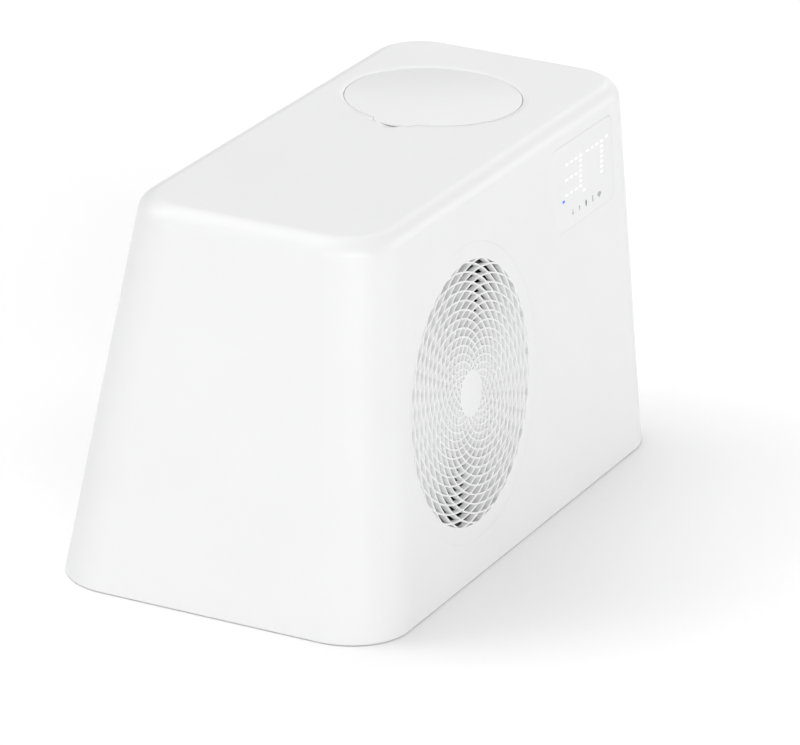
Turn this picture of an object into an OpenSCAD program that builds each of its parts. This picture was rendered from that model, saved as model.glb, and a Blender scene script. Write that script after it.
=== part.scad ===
// Ice bath chiller: a one-piece moulded shroud over a base tray that carries a fan, a
// refrigerating circuit and a water circuit with a filter under a round top lid.
// Millimetres, +X along the length, front with the fan outlet at -Y, +Z up from the floor.

/* [Shroud] */
// Length of the shroud at its lower edge
body_len = 890; // [880:2:960]
// Width of the shroud at its lower edge
body_wid = 488; // [480:2:540]
// Height of the flat top above the floor
body_ht = 520; // [515:1:560]
// How far the front face leans in at the top
front_lean = 53; // [46:1:56]
// How far the back face leans in at the top
back_lean = 74; // [68:1:76]
// How far the plain end leans in at the top
left_lean = 62; // [50:1:64]
// How far the other end leans in at the top
right_lean = 22; // [18:1:26]
// Radius of the upright corners at the lower edge
corner_r_low = 86; // [80:1:90]
// Radius of the upright corners at the top
corner_r_top = 76; // [70:1:80]
// Radius of the soft edge round the top
edge_r = 22; // [16:1:26]
// Moulded wall of the shroud
wall = 3.5; // [3:0.1:4]
// Gap between the floor and the shroud
floor_gap = 5; // [4:0.5:6]

/* [Fan outlet] */
// Distance of the fan from the middle of the body, towards the plain end
fan_off = 137.5; // [136:0.5:140]
// Face left below the round grille insert
fan_foot = 46.5; // [46:0.5:49]
// Face left between the grille insert and the top
fan_head = 71.5; // [71.5:0.5:76]
// Width of the plain rim round the pierced lattice
rim_w = 23; // [20.5:0.5:33]
// Radius of the blank disc in the middle
hub_r = 31.5; // [26:0.5:36]
// Arms in each of the two families of spirals
arm_count = 20; // [16:1:24]
// Radial distance between neighbouring spiral ribs
rib_pitch = 12.7; // [11:0.1:15]
// Width of a spiral rib
rib_w = 2.4; // [1.8:0.1:3]
// Depth of a spiral rib
rib_depth = 9; // [6:0.5:10]
// Number of fan blades
blade_count = 5; // [3:1:7]

/* [Display] */
// Width of the display window
window_w = 193; // [180:1:196]
// Height of the display window
window_h = 117; // [108:1:118]
// Place of the window's centre along the body
window_x = 238; // [234:1:240]
// Drop of the window's centre below the top
window_drop = 86.5; // [85:0.5:91]
// Distance between columns of light dots
dot_pitch_x = 15.9; // [14:0.1:16.2]
// Distance between rows of light dots
dot_pitch_y = 6.9; // [6.4:0.1:7.2]

/* [Filter] */
// Radius of the round top lid
lid_r = 120; // [116:0.5:122]
// Thickness of the round top lid
lid_t = 4; // [3:0.5:5]
// Place of the lid's centre along the body
lid_x = 194; // [190:0.5:196]
// Place of the lid's centre across the body
lid_y = 6; // [2:0.5:8]
// Outer radius of the filter housing
canister_r = 92; // [86:0.5:93]
// Height of the filter housing's lower end above the floor
canister_low = 216.2; // [212:0.2:234]
// Number of pleats in the cartridge
pleat_count = 48; // [24:1:64]

/* [Water ports] */
// Radius of the port that a hose slides on
port_r = 12.5; // [10:0.5:13]
// Length of the port that a hose slides on
port_len = 28; // [22:1:30]
// Outer radius of the inner water hoses
hose_r = 13; // [11:0.5:13.5]

/* [Refrigeration] */
// Radius of the compressor's shell
comp_r = 58; // [52:1:60]
// Height of the compressor's shell
comp_ht = 230; // [210:1:240]
// Radius of the heat exchanger's barrel
barrel_r = 50; // [46:0.5:51]
// Number of flat tubes in the condenser
tube_count = 13; // [10:1:15]
// Width of the condenser's core
core_w = 378; // [360:2:380]

/* [Hidden] */
$fn = 64;

// Clearance between a piece and its seat, and the overrun of every cut
seat_gap = 0.3;
overrun = 1;
// Radial clearance of a shaft in its bearing
shaft_gap = 0.05;

// Shape of the shroud
corner_steps = 10;
edge_steps = 6;
lean_span = body_ht - floor_gap;
front_angle = atan(front_lean / lean_span);
back_angle = atan(back_lean / lean_span);
left_angle = atan(left_lean / lean_span);
right_angle = atan(right_lean / lean_span);

// Grille insert: it fills the front face between its foot and its head, or runs up to the
// start of the plain end's corner where that is nearer
corner_over = 3;
fan_room = -fan_off - left_x(body_ht / 2) - corner_r(body_ht / 2) + corner_over;
bezel_r = min((lean_span - fan_foot - fan_head) / 2, fan_room);
fan_up = fan_foot + bezel_r;
lattice_r = bezel_r - rim_w;
bezel_seat = wall + 2 * seat_gap;
window_up = lean_span - window_drop;

// Base tray
tray_t = 4;
tray_z = floor_gap + 3;
tray_top = tray_z + tray_t;
tray_rim_ht = 26;
tray_rim_t = 3;
foot_r = 20;
foot_in = 62;
foot_recess = 1.5;
boss_r = 7;
boss_ht = 24;
boss_in = boss_r + boss_ht * tan(back_angle) - wall / 2;
screw_r = 2;
screw_head_r = 4.2;
screw_head_t = 2.4;
screw_len = 18;

// Insert seats: a flange behind the moulded wall
flange_over = 4;
flange_t = 3;
flange_z = wall + seat_gap;

// Release notch at the foot of the grille's rim
notch_w = 7;
notch_h = 3;
notch_off = 8.5;

// Fan, in the frame of the front face
duct_in = 7.5;
duct_r = lattice_r - duct_in;
duct_t = 3;
duct_len = 66;
duct_front = rib_depth + seat_gap;
mouth_r = 8;
mouth_land = 7;
tip_gap = 6;
rotor_hub_r = 46;
rotor_hub_len = 34;
rotor_in = 9;
rotor_front = duct_front + rotor_in;
blade_t = 2.4;
blade_pitch_deg = 30;
blade_sweep = 8;
blade_root = 48;
blade_tip = 76;
blade_ht = 44;
blade_steps = 6;
shaft_r = 4;
shaft_grip = 30;
shaft_spare = 2;
motor_r = 42;
motor_len = 48;
motor_gap = 6;
motor_rib_t = 2;
motor_rib_count = 8;
motor_front = rotor_front + rotor_hub_len + motor_gap;
bracket_t = 4;
bracket_arm_w = 14;
bracket_arm_count = 4;

// Display, in the frame of the front face
window_r = 14;
window_gap = 0.4;
dot_w = 10;
dot_h = 5;
dot_t = 0.4;
digit_rows = 7;
digit_cols = 4;
digit_left_in = 38.5;
digit_top_in = 25;
digit_two = 4.57;
point_off = 0.5;
status_off = 0.63;
icon_t = 0.2;
icon_size = 7;
icon_pitch = 21.5;
icon_up = 22;
icon_left_in = 55;
board_t = 1.6;
chip_t = 4;
standoff_r = 3;
standoff_len = 8;
board_in = 14;

// Round lid and the well under it
lid_gap = 0.8;
well_step = 6.8;
well_wall = 3.5;
well_depth = 42;
tab_out = 10;
tab_half = 34;
scoop_r = 26;
scoop_depth = 7;
scoop_out = 13;
skirt_t = 3;
skirt_ht = 7;
skirt_in = 10;
lid_rib_t = 2;
lid_rib_count = 8;
gasket_t = 1.2;
gasket_w = 3;
lid_under_z = body_ht - lid_t;
ledge_z = lid_under_z - gasket_t;
well_r = lid_r + lid_gap + well_wall;
well_in_r = lid_r + lid_gap - well_step;
well_floor_z = body_ht - well_depth;

// Filter under the lid
canister_t = 5;
collar_w = 4;
collar_r = canister_r + collar_w;
collar_rise = 8;
canister_flange_w = 18;
flange_r = canister_r + canister_flange_w;
canister_flange_t = 4;
canister_dome = 14;
stub_len = 12;
stub_bore_r = 9;
bore_r = canister_r - canister_t;
cap_gap = 0.4;
cap_plug_len = 22;
cap_top_t = 7;
cap_wall = 5;
cap_grip_in = 30;
cap_grip_r = canister_r - cap_grip_in;
cap_grip_ht = 11;
cap_grip_w = 9;
cap_boss_r = 16;
ring_r = 2.1;
ring_gap = 0.1;
bleed_r = 5;
bleed_head_r = 10;
bleed_head_t = 4;
bleed_len = 12;
pleat_gap = 21;
pleat_depth = 14;
pleat_out_r = bore_r - pleat_gap;
pleat_in_r = pleat_out_r - pleat_depth;
core_r = 22;
end_cap_gap = 17;
end_cap_r = bore_r - end_cap_gap;
end_cap_t = 8;
flange_z_top = well_floor_z - wall - seat_gap;
canister_top = well_floor_z + collar_rise;
canister_len = flange_z_top - canister_low;
stub_y = lid_y + canister_r + stub_len;

// Intake louvre, in the frame of the back face
louvre_low = 82;
louvre_head = 133;
louvre_w = 340;
louvre_h = lean_span - louvre_low - louvre_head;
louvre_up = louvre_low + louvre_h / 2;
louvre_slat_t = 2;
louvre_slat_pitch = 20;
louvre_slat_deg = 35;
louvre_frame_w = 12;
louvre_mullion_w = 5;
louvre_depth = 16;
louvre_r = 12;

// Service bay with the water ports and the mains inlet
bay_x = 220;
bay_w = 210;
bay_low = 80;
bay_ht = 150;
bay_r = 14;
bay_t = 3;
bay_back = 56;
bay_y = body_wid / 2 - bay_back;
port_z = 125;
inlet_x = lid_x;
port_pitch = 90;
outlet_x = lid_x + port_pitch;
port_bore_r = 9;
port_flange_r = 20;
port_flange_t = 4;
port_chamfer = 1.5;
port_body_r = hose_r;
nut_r = 21;
nut_t = 6.5;
tail_len = 11;
tail_y = bay_y - bay_t - seat_gap - nut_t - tail_len;
mains_x = 146;
mains_z = 186;
mains_w = 28;
mains_h = 21;
mains_depth = 18;
mains_flange = 6;
mains_flange_t = 2.5;
mains_wall = 2;
blade_pin_w = 2;
blade_pin_h = 4;
blade_pin_len = 12;
blade_pin_pitch = 7;
blade_pin_drop = 1.5;
switch_z = 125;
switch_w = 21;
switch_h = 28;
switch_depth = 20;
switch_flange = 2.5;
switch_flange_t = 2.5;
rocker_w = 16;
rocker_h = 22;
rocker_pivot = 4;
rocker_front = 7;
rocker_dip = 1.5;
rocker_cheek = 3;
rocker_back = 3;
rocker_room = 1.4;
rocker_pin_r = 1.5;

// Condenser
core_low = 40;
core_head = 103;
tube_pitch = (body_ht - core_low - core_head) / tube_count;
tube_t = 2.4;
core_depth = 18;
header_r = 9;
socket_t = 2;
core_x = -fan_off;
core_back = 93;
core_y = body_wid / 2 - core_back;
fin_t = 1.2;
fin_fold_count = 30;
fin_gap = 0.2;
foot_w = 60;
foot_d = 22;
foot_t = 2;

// Partition between the air side and the water side
bulkhead_x = 73;
bulkhead_t = 2;
bulkhead_room = 70.5;
bulkhead_top = well_floor_z - wall - bulkhead_room;
bulkhead_margin = 9;
bulkhead_flange = 20;
grommet_t = 2;
grommet_lip = 3;
grommet_gap = 0.3;

// Compressor and its suction accumulator
comp_x = 335;
comp_in = 139;
comp_y = -body_wid / 2 + comp_in;
comp_low = 30;
comp_edge = 22;
comp_steps = 6;
comp_band_t = 3;
comp_band_ht = 14;
comp_plate_r = 74;
comp_plate_t = 3;
comp_plate_lobe = 14;
mount_r = 12;
stud_r = 4;
stud_len = 10;
nut_af_r = 7.5;
small_nut_t = 5;
terminal_w = 44;
terminal_d = 34;
terminal_h = 26;
terminal_off = 8;
terminal_wall = 2;
accu_x = 252;
accu_y = comp_y;
accu_r = 20;
accu_low = 82;
accu_ht = 140;
accu_edge = 12;
accu_arm_w = 14;
accu_arm_up = 108;

// Refrigerant pipes
thin_r = 4.5;
thick_r = 7;
thin_bend = 16;
thick_bend = 20;
liquid_z = 60;
discharge_rise = 70;
discharge_in = 79;
discharge_z = comp_low + comp_ht + discharge_rise;
discharge_y = -body_wid / 2 + discharge_in;
discharge_x = 93;
suction_rise = 25;
drier_x = 150;
drier_r = 12;
drier_len = 84;
drier_neck = 16;
valve_x = 272;
valve_r = 12;
valve_len = 34;
valve_head_r = 15;
valve_head_ht = 22;

// Heat exchanger
barrel_x = 345;
barrel_in = 174;
barrel_y = body_wid / 2 - barrel_in;
barrel_low = 40;
barrel_head = 116.5;
barrel_ht = body_ht - wall - barrel_low - barrel_head;
barrel_cap_r = 3.5;
barrel_cap_ht = 34;
barrel_edge = 10;
water_out_x = 22;
water_out_y = 10;
suction_in_x = -15;
suction_in_y = -10;
barrel_water_z = 150;
barrel_stub = 8;
stand_t = 3;
stand_r = 46;
stand_lip = 12;
stand_flange = 14;

// Circulation pump, its axis along the length
pump_in = 164;
pump_y = body_wid / 2 - pump_in;
pump_z = 70;
pump_x = 150;
volute_r = 38;
volute_len = 36;
volute_wall = 5;
impeller_r = 28;
impeller_t = 3;
vane_h = 12;
vane_t = 2.5;
vane_count = 7;
pump_shaft_r = 4;
pump_shaft_len = 30;
pump_spigot = 12;
pump_top = 12;
outlet_in = 14;
pump_motor_r = 40;
pump_motor_len = 72;
pump_motor_fin_t = 2.5;
pump_motor_fin_count = 9;
pump_motor_fin_r = 3;
pump_plate_w = 62;
pump_plate_t = 4;
pump_pad_r = 8;
pump_saddle_w = 12;

// Water hoses
hose_bend = 22;
hose_back = 27.2;
hose_y = tail_y - hose_back;
hose_in_up = 33.8;
hose_in_z = canister_low + hose_in_up;
hose_drop = 39.2;
hose_low_z = canister_low - stub_len - hose_drop;
hose_mid_x = 108;
clamp_t = 1;
clamp_w = 9;
clamp_gap = 0.2;
clamp_lug = 7;

// Control box on the partition
box_depth = 50;
box_in = 134;
box_y = -body_wid / 2 + box_in;
box_w = 150;
box_low = 34;
box_ht = 150;
box_t = 2;
pcb_t = 1.6;
pcb_off = 10;
pcb_in = 9;
relay_size = 18;
cap_can_r = 17;
cap_can_len = 62;

// Height z as a share of the rise of the shroud, and the faces of its walls there
function rise(z) = (z - floor_gap) / lean_span;
function left_x(z) = -body_len / 2 + left_lean * rise(z);
function right_x(z) = body_len / 2 - right_lean * rise(z);
function front_y(z) = -body_wid / 2 + front_lean * rise(z);
function back_y(z) = body_wid / 2 - back_lean * rise(z);
function corner_r(z) = corner_r_low + (corner_r_top - corner_r_low) * rise(z);

// One level section of the shroud: four sides and round corners, inset square to the walls
function ring(z, inset) =
    let (x0 = left_x(z) + inset / cos(left_angle), x1 = right_x(z) - inset / cos(right_angle))
    let (y0 = front_y(z) + inset / cos(front_angle), y1 = back_y(z) - inset / cos(back_angle))
    let (r = corner_r(z) - inset)
    let (centres = [[x1 - r, y1 - r], [x0 + r, y1 - r], [x0 + r, y0 + r], [x1 - r, y0 + r]])
    [for (c = [0 : 3]) for (i = [0 : corner_steps]) let (a = 90 * (c + i / corner_steps))
        [centres[c][0] + r * cos(a), centres[c][1] + r * sin(a), z]];

// Closed solid through a stack of level sections that have as many points each
module loft(rings) {
    n = len(rings[0]);
    top = len(rings) - 1;
    sides = [for (k = [0 : top - 1]) for (i = [0 : n - 1]) let (a = k * n, j = (i + 1) % n)
        each [[a + i, a + n + i, a + j], [a + n + i, a + n + j, a + j]]];
    low_cap = [for (i = [0 : n - 1]) i];
    high_cap = [for (i = [n - 1 : -1 : 0]) top * n + i];
    polyhedron(points = [for (r = rings) each r], faces = concat(sides, [low_cap, high_cap]));
}

// The shroud's outside, or its inside for a wall's inset, with the soft top edge
module shroud_block(inset, z_low) {
    z_top = body_ht - inset;
    r = edge_r - inset;
    fillet = [for (i = [0 : edge_steps]) let (a = 90 * i / edge_steps)
        ring(z_top - r + r * sin(a), inset + r * (1 - cos(a)))];
    loft(concat([ring(z_low, inset)], fillet));
}

// A plain slice of the same tapering form between two heights
module body_slice(z_low, z_high, inset) {
    loft([ring(z_low, inset), ring(z_high, inset)]);
}

// Frames of the front and back faces: X and Y in the face, +Z out of it
module on_front(x, up) {
    translate([x, -body_wid / 2, floor_gap]) rotate([90 - front_angle, 0, 0])
        translate([0, up, 0]) children();
}

module on_back(x, up) {
    translate([x, body_wid / 2, floor_gap]) rotate([90 - back_angle, 0, 180])
        translate([0, up, 0]) children();
}

// Flat outline with round corners, centred
module round_rect(w, h, r) {
    steps = corner_steps;
    polygon([for (c = [0 : 3]) for (i = [0 : steps])
        let (a = 90 * (c + i / steps), sx = c == 0 || c == 3 ? 1 : -1, sy = c < 2 ? 1 : -1)
        [sx * (w / 2 - r) + r * cos(a), sy * (h / 2 - r) + r * sin(a)]]);
}

// Upright can with rounded ends, standing on z = 0
module round_can(r, h, edge, steps) {
    low = [for (i = [0 : steps]) let (a = 90 * i / steps) [r - edge + edge * sin(a), edge - edge * cos(a)]];
    high = [for (i = [0 : steps]) let (a = 90 * i / steps)
        [r - edge + edge * cos(a), h - edge + edge * sin(a)]];
    rotate_extrude() polygon(concat([[0, 0]], low, high, [[0, h]]));
}

module tube(r_out, r_in, h) {
    difference() {
        cylinder(r = r_out, h = h);
        translate([0, 0, -overrun]) cylinder(r = r_in, h = h + 2 * overrun);
    }
}

// Places a child drawn from the origin along +Z at point a, pointing along the direction d
module aim(a, d) {
    z = d / norm(d);
    side = abs(z[2]) < 0.5 ? [0, 0, 1] : [1, 0, 0];
    x = cross(side, z) / norm(cross(side, z));
    y = cross(z, x);
    multmatrix([[x[0], y[0], z[0], a[0]], [x[1], y[1], z[1], a[1]], [x[2], y[2], z[2], a[2]]]) children();
}

// Round bar or pipe along square turns: straight rods joined by quarter bends
module route(points, r, bend) {
    last = len(points) - 1;
    for (i = [0 : last - 1]) {
        d = (points[i + 1] - points[i]) / norm(points[i + 1] - points[i]);
        start = points[i] + (i == 0 ? 0 : bend) * d;
        stop = points[i + 1] - (i + 1 == last ? 0 : bend) * d;
        aim(start, d) cylinder(r = r, h = norm(stop - start));
    }
    for (i = [1 : last - 1]) {
        d1 = (points[i] - points[i - 1]) / norm(points[i] - points[i - 1]);
        d2 = (points[i + 1] - points[i]) / norm(points[i + 1] - points[i]);
        c = points[i] - bend * d1 + bend * d2;
        n = cross(-d2, d1);
        multmatrix([[-d2[0], d1[0], n[0], c[0]], [-d2[1], d1[1], n[1], c[1]], [-d2[2], d1[2], n[2], c[2]]])
            rotate_extrude(angle = 90) translate([bend, 0]) circle(r = r);
    }
}

// Base tray: a shallow pan that follows the inside of the shroud
function boss_places() = [
    for (s = [-1, 1]) [s * (body_len / 2 - 2 * corner_r_low), front_y(tray_top) + wall + boss_in],
    for (s = [-1, 1]) [s * (body_len / 2 - 2 * corner_r_low), back_y(tray_top) - wall - boss_in],
    [left_x(tray_top) + wall + boss_in, 0],
    [right_x(tray_top) - wall - boss_in, 0]];

function foot_places() = [for (sx = [-1, 1]) for (sy = [-1, 1])
    [sx * (body_len / 2 - foot_in), sy * (body_wid / 2 - foot_in)]];

module base_tray() {
    color("silver") difference() {
        body_slice(tray_z, tray_z + tray_rim_ht, wall + seat_gap);
        body_slice(tray_top, tray_z + tray_rim_ht + overrun, wall + seat_gap + tray_rim_t);
        for (p = boss_places()) translate([p[0], p[1], tray_top]) {
            cylinder(r = boss_r + seat_gap, h = tray_rim_ht);
            translate([0, 0, -tray_t - overrun]) cylinder(r = screw_r + seat_gap, h = tray_t + 2 * overrun);
        }
    }
}

// Four soft feet, each with a dished sole
module rubber_feet() {
    color("#2b2b2b") for (p = foot_places()) translate([p[0], p[1], 0]) difference() {
        rotate_extrude() polygon([[0, 0], [foot_r - foot_recess, 0], [foot_r, foot_recess],
            [foot_r, tray_z], [0, tray_z]]);
        translate([0, 0, -overrun]) cylinder(r = foot_r / 2, h = foot_recess + overrun);
    }
}

// Pan-head screws that hold the shroud's bosses down into the tray
module tray_screws() {
    color("#8a8d90") for (p = boss_places()) translate([p[0], p[1], tray_z]) {
        translate([0, 0, -screw_head_t]) cylinder(r = screw_head_r, h = screw_head_t);
        cylinder(r = screw_r, h = screw_len);
    }
}

// The lid's outline: a disc with a finger tab on the side of the plain end
module lid_outline(grow) {
    circle(r = lid_r + grow);
    intersection() {
        circle(r = lid_r + tab_out + grow);
        translate([-lid_r - tab_out - grow, -tab_half - grow]) square([lid_r, 2 * (tab_half + grow)]);
    }
}

// One-piece shroud with its five openings, the lid's well and six screw bosses
module shroud() {
    scoop_x = lid_x - lid_r - scoop_out;
    scoop_rise = scoop_r - scoop_depth;
    color("#f4f4f4") difference() {
        union() {
            difference() {
                shroud_block(0, floor_gap);
                shroud_block(wall, floor_gap - overrun);
            }
            translate([lid_x, lid_y, well_floor_z - wall])
                cylinder(r = well_r, h = body_ht - wall / 2 - well_floor_z + wall);
            translate([lid_x, lid_y, ledge_z - well_wall])
                linear_extrude(body_ht - wall / 2 - ledge_z + well_wall) lid_outline(lid_gap + well_wall);
            intersection() {
                translate([scoop_x, lid_y, body_ht + scoop_rise]) sphere(r = scoop_r + wall);
                translate([scoop_x - scoop_r, lid_y - scoop_r, body_ht - scoop_depth - wall])
                    cube([2 * scoop_r, 2 * scoop_r, scoop_depth + wall / 2]);
            }
            for (p = boss_places()) translate([p[0], p[1], tray_top + seat_gap])
                cylinder(r = boss_r, h = boss_ht);
        }
        translate([lid_x, lid_y, ledge_z]) linear_extrude(body_ht - ledge_z + overrun) lid_outline(lid_gap);
        translate([lid_x, lid_y, well_floor_z]) cylinder(r = well_in_r, h = body_ht - well_floor_z);
        translate([lid_x, lid_y, well_floor_z - wall - overrun])
            cylinder(r = collar_r + seat_gap, h = wall + 2 * overrun);
        translate([scoop_x, lid_y, body_ht + scoop_rise]) sphere(r = scoop_r);
        on_front(-fan_off, fan_up) translate([0, 0, -wall - overrun - edge_r / 2])
            cylinder(r = bezel_r + seat_gap, h = wall + 2 * overrun + edge_r / 2);
        on_front(window_x, window_up) translate([0, 0, -wall - overrun]) linear_extrude(wall + 2 * overrun)
            round_rect(window_w + 2 * window_gap, window_h + 2 * window_gap, window_r);
        on_back(-fan_off, louvre_up) translate([0, 0, -wall - overrun]) linear_extrude(wall + 2 * overrun)
            round_rect(louvre_w + 2 * seat_gap, louvre_h + 2 * seat_gap, louvre_r);
        bay_core(bay_w + 2 * seat_gap, bay_ht + 2 * seat_gap, bay_y, body_wid);
        for (p = boss_places())
            translate([p[0], p[1], tray_z]) cylinder(r = screw_r + shaft_gap, h = screw_len + overrun);
    }
}

// Upright-sided block through the back face where the service bay goes
module bay_core(w, h, y_low, y_high) {
    translate([bay_x, y_high, bay_low + bay_ht / 2]) rotate([90, 0, 0])
        linear_extrude(y_high - y_low) round_rect(w, h, bay_r);
}

// Fan outlet grille: two families of spiral ribs that cross, cut from one disc.
// In turn angle and radius the ribs are straight lines, so each opening is a diamond.
spiral_rate = arm_count * rib_pitch / 360;
row_first = ceil(2 * hub_r / rib_pitch - 0.05);
row_last = floor(2 * lattice_r / rib_pitch);

// Half a rib's width measured along the radius
function rib_half(r) = rib_w / 2 * sqrt(1 + pow(spiral_rate * 180 / PI / r, 2));

// The diamond opening centred at radius rc and angle turn
function cell_points(rc, turn) =
    let (h = rib_pitch / 2 - rib_half(rc), a = h / spiral_rate)
    [for (v = [[0, rc - h], [a, rc], [0, rc + h], [-a, rc]])
        [v[1] * cos(v[0] + turn), v[1] * sin(v[0] + turn)]];

module lattice_row(row) {
    rc = row * rib_pitch / 2;
    for (k = [0 : arm_count - 1]) polygon(cell_points(rc, (2 * k + row % 2) * 180 / arm_count));
}

module lattice_openings() {
    for (row = [row_first + 1 : row_last - 1]) lattice_row(row);
    intersection() {
        for (row = [row_first, row_last, row_last + 1]) lattice_row(row);
        difference() {
            circle(r = lattice_r);
            circle(r = hub_r);
        }
    }
}

module fan_grille() {
    color("#f6f6f6") on_front(-fan_off, fan_up) union() {
        translate([0, 0, -rib_depth]) linear_extrude(rib_depth) difference() {
            circle(r = lattice_r + rib_depth);
            lattice_openings();
        }
        translate([0, 0, -wall]) linear_extrude(wall) difference() {
            circle(r = bezel_r);
            circle(r = lattice_r + rib_depth / 2);
            translate([-notch_off - notch_w / 2, -bezel_r - overrun]) square([notch_w, notch_h + overrun]);
        }
        translate([0, 0, -rib_depth])
            tube(bezel_r - seat_gap, lattice_r + rib_depth / 2, rib_depth - wall / 2);
        translate([0, 0, -rib_depth])
            tube(bezel_r + flange_over, bezel_r - flange_over, rib_depth - bezel_seat);
    }
}

// Fan duct with a flared mouth, screwed against the back of the grille
duct_back = duct_front + duct_len;
mouth_back = duct_back + mouth_r + duct_t;
mouth_out_r = duct_r + duct_t + mouth_r;

module fan_shroud() {
    color("#3a3d40") on_front(-fan_off, fan_up) union() {
        translate([0, 0, -duct_front - duct_t]) tube(bezel_r + flange_over, duct_r, duct_t);
        translate([0, 0, -duct_back]) tube(duct_r + duct_t, duct_r, duct_len);
        translate([0, 0, -duct_back]) rotate_extrude() translate([mouth_out_r, 0]) intersection() {
            difference() {
                circle(r = mouth_r + duct_t);
                circle(r = mouth_r);
            }
            translate([-mouth_r - duct_t, -mouth_r - duct_t]) square(mouth_r + duct_t);
        }
        translate([0, 0, -mouth_back]) tube(mouth_out_r + mouth_land, mouth_out_r, duct_t);
    }
}

// One blade in its own plane: it widens and sweeps forward from the hub to the tip
module blade_plan() {
    r0 = rotor_hub_r - 2 * blade_t;
    r1 = duct_r - tip_gap;
    edge = [for (side = [-1, 1]) [for (i = [0 : blade_steps]) let (t = i / blade_steps, r = r0 + (r1 - r0) * t)
        let (y = side * (blade_root + (blade_tip - blade_root) * t) / 2 + blade_sweep * t * t)
        [sqrt(r * r - y * y), y]]];
    polygon(concat(edge[0], [[r1, blade_sweep]], [for (i = [blade_steps : -1 : 0]) edge[1][i]]));
}

// Fan rotor: pitched blades on a hub, with the shaft that runs in the motor
module fan_rotor() {
    color("#26282b") on_front(-fan_off, fan_up) union() {
        for (i = [0 : blade_count - 1]) rotate(360 * i / blade_count)
            translate([0, 0, -rotor_front - blade_ht / 2]) rotate([blade_pitch_deg, 0, 0])
            translate([0, 0, -blade_t / 2]) linear_extrude(blade_t) blade_plan();
        translate([0, 0, -rotor_front - rotor_hub_len]) cylinder(r = rotor_hub_r, h = rotor_hub_len);
        translate([0, 0, -motor_front - shaft_grip])
            cylinder(r = shaft_r, h = shaft_grip + motor_gap + rotor_hub_len / 2);
    }
}

// Fan motor: a finned can whose blind bearing takes the rotor's shaft
module fan_motor() {
    color("#b9bcc0") on_front(-fan_off, fan_up) difference() {
        translate([0, 0, -motor_front - motor_len]) union() {
            cylinder(r = motor_r, h = motor_len);
            for (i = [0 : motor_rib_count - 1]) rotate(360 * i / motor_rib_count)
                translate([motor_r - motor_rib_t, -motor_rib_t / 2, 0])
                cube([2 * motor_rib_t, motor_rib_t,
                    motor_front + motor_len - mouth_back - bracket_t - seat_gap]);
        }
        translate([0, 0, -motor_front - shaft_grip - shaft_spare])
            cylinder(r = shaft_r + shaft_gap, h = shaft_grip + shaft_spare + overrun);
    }
}

// Spider that carries the motor behind the duct's mouth
module motor_bracket() {
    ring_r = motor_r + bracket_arm_w;
    color("#4a4d50") on_front(-fan_off, fan_up)
        translate([0, 0, -mouth_back - seat_gap - bracket_t]) linear_extrude(bracket_t) difference() {
        union() {
            circle(r = ring_r);
            for (i = [0 : bracket_arm_count - 1]) rotate(45 + 360 * i / bracket_arm_count)
                translate([0, -bracket_arm_w / 2]) square([mouth_out_r + mouth_land, bracket_arm_w]);
        }
        circle(r = motor_r + seat_gap);
    }
}

// Display window: a flush plate with a flange behind the wall and four standoffs
module display_window() {
    color("#eeeff0") on_front(window_x, window_up) union() {
        translate([0, 0, -wall]) linear_extrude(wall) round_rect(window_w, window_h, window_r);
        translate([0, 0, -flange_z - flange_t]) linear_extrude(flange_t + flange_z - wall / 2)
            round_rect(window_w, window_h, window_r);
        translate([0, 0, -flange_z - flange_t]) linear_extrude(flange_t)
            round_rect(window_w + 2 * flange_over, window_h + 2 * flange_over, window_r + flange_over);
        for (sx = [-1, 1]) for (sy = [-1, 1])
            translate([sx * (window_w / 2 - 2 * board_in), sy * (window_h / 2 - board_in), 0])
            translate([0, 0, -flange_z - flange_t - standoff_len])
            cylinder(r = standoff_r, h = standoff_len + flange_t / 2);
    }
}

// One oblong light dot at a column and row counted from the window's top left
module light_dot(col, row) {
    x = -window_w / 2 + digit_left_in + col * dot_pitch_x;
    y = window_h / 2 - digit_top_in - row * dot_pitch_y;
    translate([x, y, 0]) linear_extrude(dot_t) round_rect(dot_w, dot_h, dot_h / 2 - seat_gap / 2);
}

// Two figures of light dots, with the degree and decimal points
module display_digits() {
    last_row = digit_rows - 1;
    last_col = digit_cols - 1;
    color("white") on_front(window_x, window_up) {
        for (row = [0 : 3 : last_row]) for (col = [0 : last_col]) light_dot(col, row);
        for (row = [1, 2, 4, 5]) light_dot(last_col, row);
        for (col = [0 : last_col]) light_dot(col + digit_two, 0);
        for (row = [1 : last_row]) light_dot(last_col + digit_two, row);
        light_dot(last_col + point_off, digit_rows);
        light_dot(digit_cols + digit_two, 0);
    }
}

module status_light() {
    color("#2f7bf0") on_front(window_x, window_up) light_dot(-status_off, digit_rows);
}

// Five printed touch marks in a row: down, up, lamp, bar and waves
module touch_marks() {
    color("#b4b6b8") on_front(window_x, window_up)
        translate([-window_w / 2 + icon_left_in, -window_h / 2 + icon_up, 0]) {
        linear_extrude(icon_t) rotate(-90) circle(r = icon_size / 2, $fn = 3);
        translate([icon_pitch, 0]) linear_extrude(icon_t) rotate(90) circle(r = icon_size / 2, $fn = 3);
        translate([2 * icon_pitch, 0]) linear_extrude(icon_t)
            round_rect(icon_size / 2, icon_size, icon_size / 5);
        translate([3 * icon_pitch, 0]) linear_extrude(icon_t)
            square([icon_size / 3, icon_size], center = true);
        translate([4 * icon_pitch, 0]) linear_extrude(icon_t) circle(r = icon_size / 2);
    }
}

module display_board() {
    color("#2f6b4a") on_front(window_x, window_up)
        translate([0, 0, -flange_z - flange_t - standoff_len - board_t]) {
        linear_extrude(board_t) square([window_w - 2 * board_in, window_h - board_in], center = true);
        translate([0, 0, -chip_t]) linear_extrude(chip_t)
            square([window_w / 4, window_h / 4], center = true);
    }
}

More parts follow.
